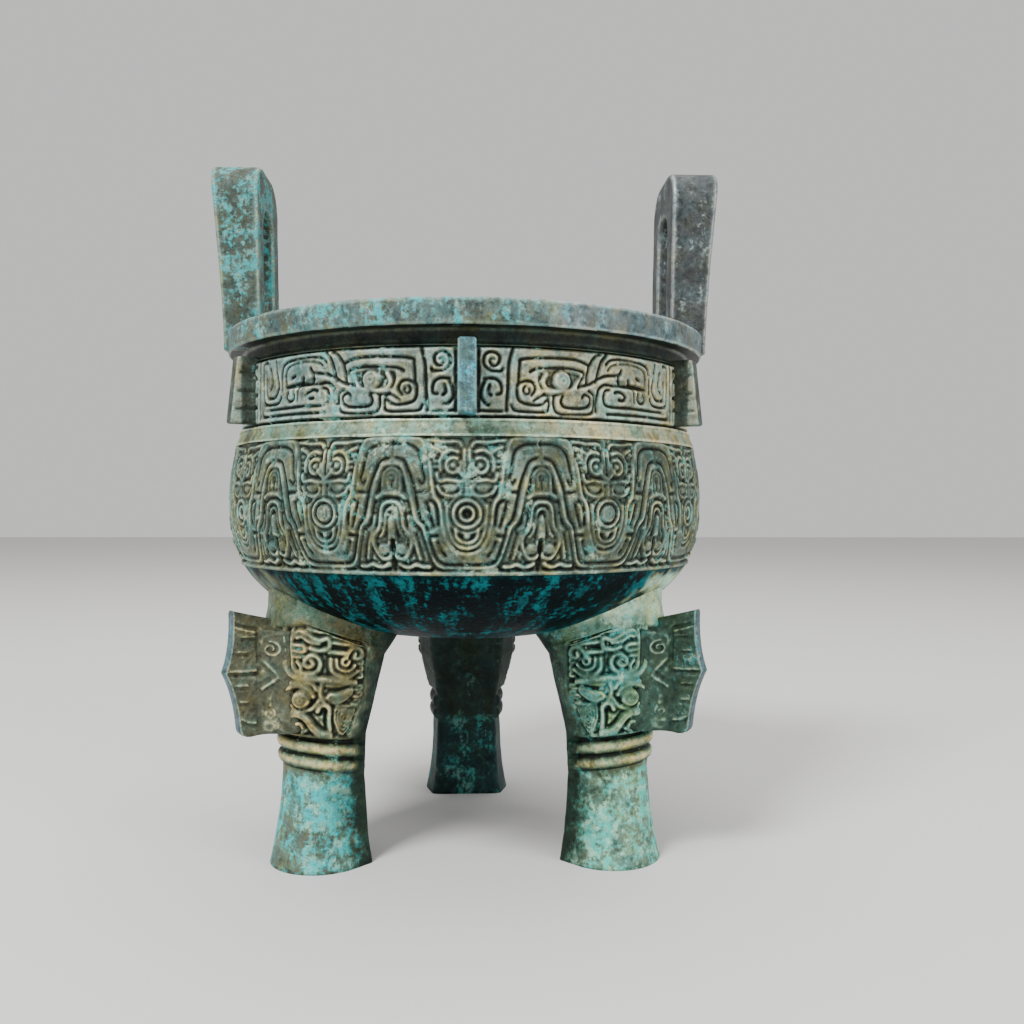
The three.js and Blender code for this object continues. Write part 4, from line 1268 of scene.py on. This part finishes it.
# The neck and the rim's underside: a dark grey-green patina with the shadow under the rim's overhang
# painted in.
NECK_SHADOW_TONES = tones((6, 10, 11), (16, 21, 20), (38, 46, 40), (74, 82, 68), (44, 84, 76), 0.15)
BAND_TONES = tones((34, 42, 34), (86, 100, 80), (130, 144, 120), (184, 200, 172), (122, 176, 156),
                   0.36, 0.9, 0.9)
BAND_RIGHT = tones((46, 48, 34), (118, 118, 90), (166, 166, 134), (210, 206, 172), (150, 180, 154),
                   0.3, 0.9, 0.9)
UPPER_TONES = tones((14, 20, 16), (82, 94, 84), (134, 148, 138), (194, 204, 188), (92, 164, 156),
                    0.32, 1.0, 0.8)
UPPER_RIGHT = tones((26, 28, 18), (108, 112, 92), (158, 164, 144), (214, 214, 186), (122, 168, 152),
                    0.26, 1.0, 0.8)
LOWER_TONES = tones((8, 12, 8), (66, 76, 64), (112, 126, 112), (198, 204, 172), (74, 152, 144),
                    0.32, 1.0, 0.9)
# The belly's underside: a dark teal patina with drips, darkened further by painted shade under the bowl.
SHADED_UNDER_TONES = tones((0, 2, 3), (0, 8, 12), (1, 22, 27), (14, 60, 62), (4, 106, 112), 0.46, 1.0, 0.3)
INSIDE_TONES = tones((10, 16, 15), (28, 38, 34), (50, 62, 54), (88, 102, 88), (50, 94, 86), 0.25)
LEFT_ROOT = tones((22, 32, 24), (76, 88, 70), (112, 126, 102), (172, 186, 156), (104, 156, 142),
                  0.32, 1.0, 0.8)
RIGHT_ROOT = tones((60, 84, 68), (156, 182, 152), (212, 236, 202), (224, 238, 204), (156, 222, 198),
                   0.5, 1.0, 0.7)
GOLD_MASK = tones((22, 24, 14), (80, 82, 60), (124, 124, 96), (226, 208, 154), (84, 150, 134),
                  0.2, 1.1, 0.85)
TEAL_MASK = tones((10, 28, 22), (64, 100, 84), (108, 148, 128), (190, 214, 180), (64, 166, 164),
                  0.4, 1.1, 0.85)
# The back leg's mask: a patina darkened with the shade under the bowl painted in.
SHADED_BACK_MASK = tones((4, 10, 10), (14, 28, 26), (34, 52, 46), (96, 110, 90), (40, 96, 90), 0.2)
# The rings: their rubbed gold is partly worn metal and partly a painted highlight on the crests.
RING_TONES_AND_HIGHLIGHT = tones((18, 28, 18), (86, 98, 72), (142, 152, 116), (232, 212, 152), (98, 170, 152),
                   0.3, 1.0, 0.8)
LEFT_FOOT = tones((30, 54, 50), (88, 96, 84), (96, 150, 134), (166, 200, 168), (46, 182, 184),
                  0.56, 1.0, 0.8)
RIGHT_FOOT = tones((36, 64, 56), (92, 108, 90), (122, 174, 152), (192, 220, 184), (78, 198, 182),
                   0.54, 1.0, 0.7)
# The back leg's foot: a patina darkened with painted shade under the bowl.
SHADED_BACK_FOOT = tones((0, 8, 10), (10, 32, 34), (34, 70, 68), (100, 130, 120), (44, 128, 122), 0.38)
# The legs' inner sides: a dark teal with the shade under the bowl painted in.
INNER_SIDE_SHADE = tones((4, 14, 10), (20, 36, 28), (38, 62, 50), (84, 106, 82), (44, 108, 98), 0.26)
FIN_TONES = tones((12, 13, 8), (76, 78, 62), (104, 112, 92), (186, 182, 144), (72, 130, 124),
                  0.18, 1.1, 0.6)
FIN_RIGHT = tones((8, 20, 14), (46, 66, 54), (74, 104, 90), (150, 168, 140), (50, 122, 122), 0.24, 1.1, 0.5)
FIN_EDGE_TONES = tones((30, 42, 46), (70, 90, 94), (90, 112, 116), (150, 168, 166), (50, 140, 144),
                       0.34, 1.0, 0.3)
FLANGE_TONES = tones((12, 16, 14), (52, 60, 52), (88, 96, 86), (156, 162, 144), (70, 120, 112),
                     0.2, 1.0, 0.5)
FRONT_FLANGE = tones((24, 38, 38), (58, 80, 82), (80, 112, 116), (132, 166, 166), (56, 156, 172),
                     0.48, 0.9, 0.4)
LEFT_HANDLE = tones((26, 34, 32), (60, 68, 60), (82, 98, 90), (132, 154, 142), (54, 158, 160),
                    0.47, 0.9, 0.6)
RIGHT_HANDLE = tones((14, 18, 18), (50, 54, 54), (80, 86, 86), (138, 144, 142), (126, 146, 142),
                     0.3, 0.9, 0.3)

ROOT_TONES = {"left": LEFT_ROOT, "right": RIGHT_ROOT}

# Where a second palette lies: its centre and half sizes in metres, its edge's softness and its raggedness.
RIGHT_OF_RIM = (0.12, 0, 0.2), (0.09, 0.3, 0.3), 0.02, 0.03
RIGHT_OF_FRIEZE = (0.12, 0, 0.2), (0.1, 0.3, 0.3), 0.02, 0.03
FRONT_OF_FLANGES = (0, -0.12, 0.2), (0.02, 0.03, 0.1), 0.004, 0.0
ROOT_REACH, ROOT_HEIGHT = 0.092, 0.1175
ROOT_SPREAD = (0.017, 0.017, 0.0035), 0.006, 0.016
ROOT_OF_LEG = (0, 0, 0.116), (0.3, 0.3, 0.013), 0.008, 0.02
RINGS_OF_LEG = (0, 0, 0.0465), (0.3, 0.3, 0.0065), 0.003, 0.008
FOOT_OF_LEG = (0, 0, 0.01), (0.3, 0.3, 0.03), 0.004, 0.006
# The legs' inner sides under the bowl, where painted shade goes.
SHADED_INSIDE_OF_LEG = (0, 0, 0.06), (0.058, 0.05, 0.09), 0.012, 0.02
RIGHT_FIN = (0.1, 0, 0.08), (0.09, 0.3, 0.1), 0.02, 0.0
# The back fin, which takes the back leg's palette with its painted shade.
BACK_FIN = (0, 0.12, 0.08), (0.06, 0.06, 0.1), 0.01, 0.0
FIRST_LEG_SEED = 40


def toned(colours, skin):
    """A finish with the skin colour that the panel holds."""
    return {**colours, "Raised": (*skin, 1)}


# ---------------------------------------------------------------- what a user would change


def colour_setting(name, description, default):
    return bpy.props.FloatVectorProperty(
        name=name, description=description, subtype="COLOR", size=3, min=0, max=1, default=default[:3]
    )


def depth_setting(name, description, default, smallest, largest):
    return bpy.props.FloatProperty(
        name=name, description=description, unit="LENGTH",
        default=default * MM, min=smallest * MM, max=largest * MM,
    )


class DingCasting(bpy.types.PropertyGroup):
    """How deep the carving is, and how even the casting."""

    upper_depth: depth_setting("Upper frieze", "Depth of the upper frieze's lines", 1.5, 0.2, 1.6)
    lower_depth: depth_setting("Lower frieze", "Depth of the lower frieze's ground", 1.05, 0.2, 1.7)
    mask_depth: depth_setting("Masks", "Depth of the masks' ground", 1.2, 0.2, 2.4)
    unevenness: depth_setting("Unevenness", "How far plain walls wander", 0.16, 0, 0.4)


class DingColours(bpy.types.PropertyGroup):
    """The bronze skin of each part, and the floor."""

    rim: colour_setting("Rim", "Skin of the rim", RIM_TONES["Raised"])
    band: colour_setting("Plain band", "Skin of the band between the friezes", BAND_TONES["Raised"])
    upper: colour_setting("Upper frieze", "Skin of the upper frieze", UPPER_TONES["Raised"])
    lower: colour_setting("Lower frieze", "Skin of the lower frieze", LOWER_TONES["Raised"])
    # The underside's default is a dark patina darkened with painted shade.
    underside: colour_setting("Underside", "Skin of the belly's underside", SHADED_UNDER_TONES["Raised"])
    mask: colour_setting("Masks", "Skin of the left mask", GOLD_MASK["Raised"])
    foot: colour_setting("Lower legs", "Skin of the lower legs", LEFT_FOOT["Raised"])
    handle: colour_setting("Handles", "Skin of the left handle", LEFT_HANDLE["Raised"])
    floor: colour_setting("Floor", "Colour of the floor", (0.62, 0.61, 0.6))


# ---------------------------------------------------------------- operators


class DING_OT_stage(bpy.types.Operator):
    """Lay the floor, and set the lights and the camera"""

    bl_idname = "ding.stage"
    bl_label = "Stage"

    def execute(self, context):
        scene = context.scene
        corners = [(x * FLOOR_HALF, y * FLOOR_HALF, 0) for x, y in ((-1, -1), (1, -1), (1, 1), (-1, 1))]
        mesh = bpy.data.meshes.new("floor")
        mesh.from_pydata(corners, [], [(0, 1, 2, 3)])
        material = bpy.data.materials.new("pale_floor")
        material.use_nodes = True
        shader = material.node_tree.nodes["Principled BSDF"]
        shader.inputs["Base Color"].default_value = (*scene.ding_colours.floor, 1)
        shader.inputs["Roughness"].default_value = 0.9
        mesh.materials.append(material)
        floor = bpy.data.objects.new("floor", mesh)
        scene.collection.objects.link(floor)

        world = bpy.data.worlds.new("soft_room")
        world.use_nodes = True
        sky = world.node_tree.nodes["Background"]
        sky.inputs["Color"].default_value = ROOM_COLOUR
        sky.inputs["Strength"].default_value = ROOM_STRENGTH
        scene.world = world
        for name, place, aim, size, power in LAMPS:
            light = bpy.data.lights.new(name, "AREA")
            light.size = size
            light.energy = power
            lamp = bpy.data.objects.new(name, light)
            lamp.location = place
            way = Vector(aim) - Vector(place)
            lamp.rotation_euler = way.to_track_quat("-Z", "Y").to_euler()
            scene.collection.objects.link(lamp)

        lens = bpy.data.cameras.new("camera")
        lens.sensor_width = 36.0
        lens.lens = CAMERA_LENS
        lens.clip_start, lens.clip_end = CAMERA_CLIP
        camera = bpy.data.objects.new("camera", lens)
        camera.location = CAMERA_PLACE
        camera.rotation_euler = CAMERA_TURN
        scene.collection.objects.link(camera)
        scene.camera = camera
        return {"FINISHED"}


class DING_OT_bowl(bpy.types.Operator):
    """Cast the bowl with its rim, plain band and underside"""

    bl_idname = "ding.bowl"
    bl_label = "Bowl"

    def execute(self, context):
        colours = context.scene.ding_colours
        mesh = bowl_mesh(context.scene.ding_casting.unevenness / MM)
        rim = bronze("rim_bronze", toned(RIM_TONES, colours.rim), [(RIM_RIGHT, *RIGHT_OF_RIM)])
        # The neck finish paints the shadow under the rim's overhang over its dark patina.
        neck_shadow = bronze("neck_shadow_bronze", NECK_SHADOW_TONES)
        band = bronze("band_bronze", toned(BAND_TONES, colours.band), [(BAND_RIGHT, *RIGHT_OF_RIM)])
        roots = []
        for side, palette in ROOT_TONES.items():
            turn = math.radians(LEG_ANGLES[side])
            place = (ROOT_REACH * math.cos(turn), ROOT_REACH * math.sin(turn), ROOT_HEIGHT)
            roots.append((palette, place, *ROOT_SPREAD))
        # The underside's finish holds painted shade under the bowl as well as its dark patina.
        skin = toned(SHADED_UNDER_TONES, colours.underside)
        under = bronze("underside_shade_bronze", skin, roots, "inwards", UNDER_SHINE)
        inside = bronze("inside_bronze", INSIDE_TONES)
        rim_slot, neck_shadow_slot, band_slot, under_slot, inside_slot = range(5)
        centres = np.array([tuple(p.center) for p in mesh.polygons]) / MM
        reach, level = np.hypot(centres[:, 0], centres[:, 1]), centres[:, 2]
        wall = belly_bottom(np.minimum(reach, 103), BOWL_WALL / 2)
        index = np.full(len(level), under_slot)
        index[level > BAND["bottom"] - 0.1] = band_slot
        index[level > BAND["top"]] = neck_shadow_slot
        index[level > RIM["bottom"] + 0.1] = rim_slot
        normals = np.array([tuple(p.normal) for p in mesh.polygons])
        inward = (centres[:, :2] * normals[:, :2]).sum(axis=1) < 0
        inner = (reach < 95.4) & (level > wall) | inward & (level < BAND["top"])
        index[inner & (level < RIM["bottom"] + 1.6)] = inside_slot
        piece = finished("cast_bowl", mesh, rim, neck_shadow, band, under, inside)
        piece.data.polygons.foreach_set("material_index", index.astype(np.int32))
        return {"FINISHED"}


class DING_OT_friezes(bpy.types.Operator):
    """Carve the upper frieze of masks and the lower frieze of waves"""

    bl_idname = "ding.friezes"
    bl_label = "Friezes"

    def execute(self, context):
        casting, colours = context.scene.ding_casting, context.scene.ding_colours
        right = (UPPER_RIGHT, *RIGHT_OF_FRIEZE)
        masks = bronze("upper_frieze_bronze", toned(UPPER_TONES, colours.upper), [right])
        unit = upper_frieze_unit(casting.upper_depth / MM)
        step = 360 / UPPER_MASKS
        finished("upper_frieze", ring_of("upper_frieze", unit, masks, UPPER_MASKS, 270, step), masks)
        waves = bronze("lower_frieze_bronze", toned(LOWER_TONES, colours.lower))
        unit = lower_frieze_unit(casting.lower_depth / MM)
        step = 720 / LOWER_WAVES
        for name, start in (("lower_frieze_front", 240), ("lower_frieze_back", 60)):
            finished(name, ring_of(name, unit, waves, LOWER_WAVES // 4, start, step), waves)
        return {"FINISHED"}


class DING_OT_flanges(bpy.types.Operator):
    """Cast the six short flanges that divide the upper frieze"""

    bl_idname = "ding.flanges"
    bl_label = "Flanges"

    def execute(self, context):
        skin = bronze("flange_bronze", FLANGE_TONES, [(FRONT_FLANGE, *FRONT_OF_FLANGES)])
        step = 360 / FLANGE_COUNT
        ring = ring_of("flanges", flange_mesh(), skin, FLANGE_COUNT, step / 2, step)
        finished("flanges", ring, skin)
        return {"FINISHED"}


class DING_OT_handles(bpy.types.Operator):
    """Cast the two upright handles"""

    bl_idname = "ding.handles"
    bl_label = "Handles"

    def execute(self, context):
        uneven = context.scene.ding_casting.unevenness / MM
        left = bronze("left_handle_bronze", toned(LEFT_HANDLE, context.scene.ding_colours.handle))
        right = bronze("right_handle_bronze", RIGHT_HANDLE)
        finished("handle_left", handle_mesh(-1, 21, uneven), left)
        finished("handle_right", handle_mesh(1, 31, uneven), right)
        return {"FINISHED"}


class DING_OT_legs(bpy.types.Operator):
    """Cast the three legs with their masks and rings"""

    bl_idname = "ding.legs"
    bl_label = "Legs"

    def execute(self, context):
        casting, colours = context.scene.ding_casting, context.scene.ding_colours
        skins = {
            "left": (toned(GOLD_MASK, colours.mask), toned(LEFT_FOOT, colours.foot)),
            "right": (TEAL_MASK, RIGHT_FOOT),
            # The back leg's palettes carry painted shade under the bowl.
            "back": (SHADED_BACK_MASK, SHADED_BACK_FOOT),
        }
        for number, (side, angle) in enumerate(LEG_ANGLES.items()):
            mask, foot = skins[side]
            # The inner side's finish paints the shade under the bowl.
            patches = [(foot, *FOOT_OF_LEG), (INNER_SIDE_SHADE, *SHADED_INSIDE_OF_LEG)]
            if side in ROOT_TONES:
                patches = [(ROOT_TONES[side], *ROOT_OF_LEG), (RING_TONES_AND_HIGHLIGHT, *RINGS_OF_LEG), *patches]
            skin = bronze(f"{side}_leg_bronze", mask, patches)
            name = f"masked_leg_{side}"
            seed = FIRST_LEG_SEED + 3 * number
            mesh = leg_mesh(name, seed, casting.mask_depth / MM, casting.unevenness / MM)
            finished(name, turned(mesh, angle), skin)
        return {"FINISHED"}


class DING_OT_fins(bpy.types.Operator):
    """Cast the fins and noses of the three masks"""

    bl_idname = "ding.fins"
    bl_label = "Fins"

    def execute(self, context):
        # The back fin's patch carries the back leg's painted shade.
        skin = bronze("fin_bronze", FIN_TONES, [(FIN_RIGHT, *RIGHT_FIN), (SHADED_BACK_MASK, *BACK_FIN)])
        mesh = fin_mesh(context.scene.ding_casting.upper_depth / MM)
        fins = ring_of("leg_fins", mesh, skin, len(LEG_ANGLES), 90, 120)
        plan = [(p.center.to_2d(), p.normal.to_2d()) for p in fins.polygons]
        reach = np.array([centre.length for centre, _ in plan])
        facing = np.array([normal @ centre for centre, normal in plan])
        outer = (facing > 0.8 * reach) & (reach > (NOSE["radius"] + 3) * MM)
        piece = finished("leg_fins", fins, skin, bronze("fin_edge_bronze", FIN_EDGE_TONES))
        piece.data.polygons.foreach_set("material_index", outer.astype(np.int32))
        return {"FINISHED"}


class DING_PT_panel(bpy.types.Panel):
    """Sizes, colours and steps of the bronze ding"""

    bl_idname = "DING_PT_panel"
    bl_label = "Bronze ding"
    bl_space_type = "VIEW_3D"
    bl_region_type = "UI"
    bl_category = "Ding"

    def draw(self, context):
        for settings in (context.scene.ding_casting, context.scene.ding_colours):
            box = self.layout.box()
            for key in settings.__annotations__:
                box.prop(settings, key)
        for operator in OPERATORS:
            self.layout.operator(operator.bl_idname)


OPERATORS = (
    DING_OT_stage, DING_OT_bowl, DING_OT_friezes, DING_OT_flanges, DING_OT_handles, DING_OT_legs,
    DING_OT_fins,
)
CLASSES = (DingCasting, DingColours, *OPERATORS, DING_PT_panel)


def register():
    for cls in CLASSES:
        bpy.utils.register_class(cls)
    bpy.types.Scene.ding_casting = bpy.props.PointerProperty(type=DingCasting)
    bpy.types.Scene.ding_colours = bpy.props.PointerProperty(type=DingColours)


def unregister():
    del bpy.types.Scene.ding_colours
    del bpy.types.Scene.ding_casting
    for cls in reversed(CLASSES):
        bpy.utils.unregister_class(cls)


def main():
    register()
    bpy.ops.ding.stage()
    bpy.ops.ding.bowl()
    bpy.ops.ding.friezes()
    bpy.ops.ding.flanges()
    bpy.ops.ding.handles()
    bpy.ops.ding.legs()
    bpy.ops.ding.fins()


if __name__ == "__main__":
    main()
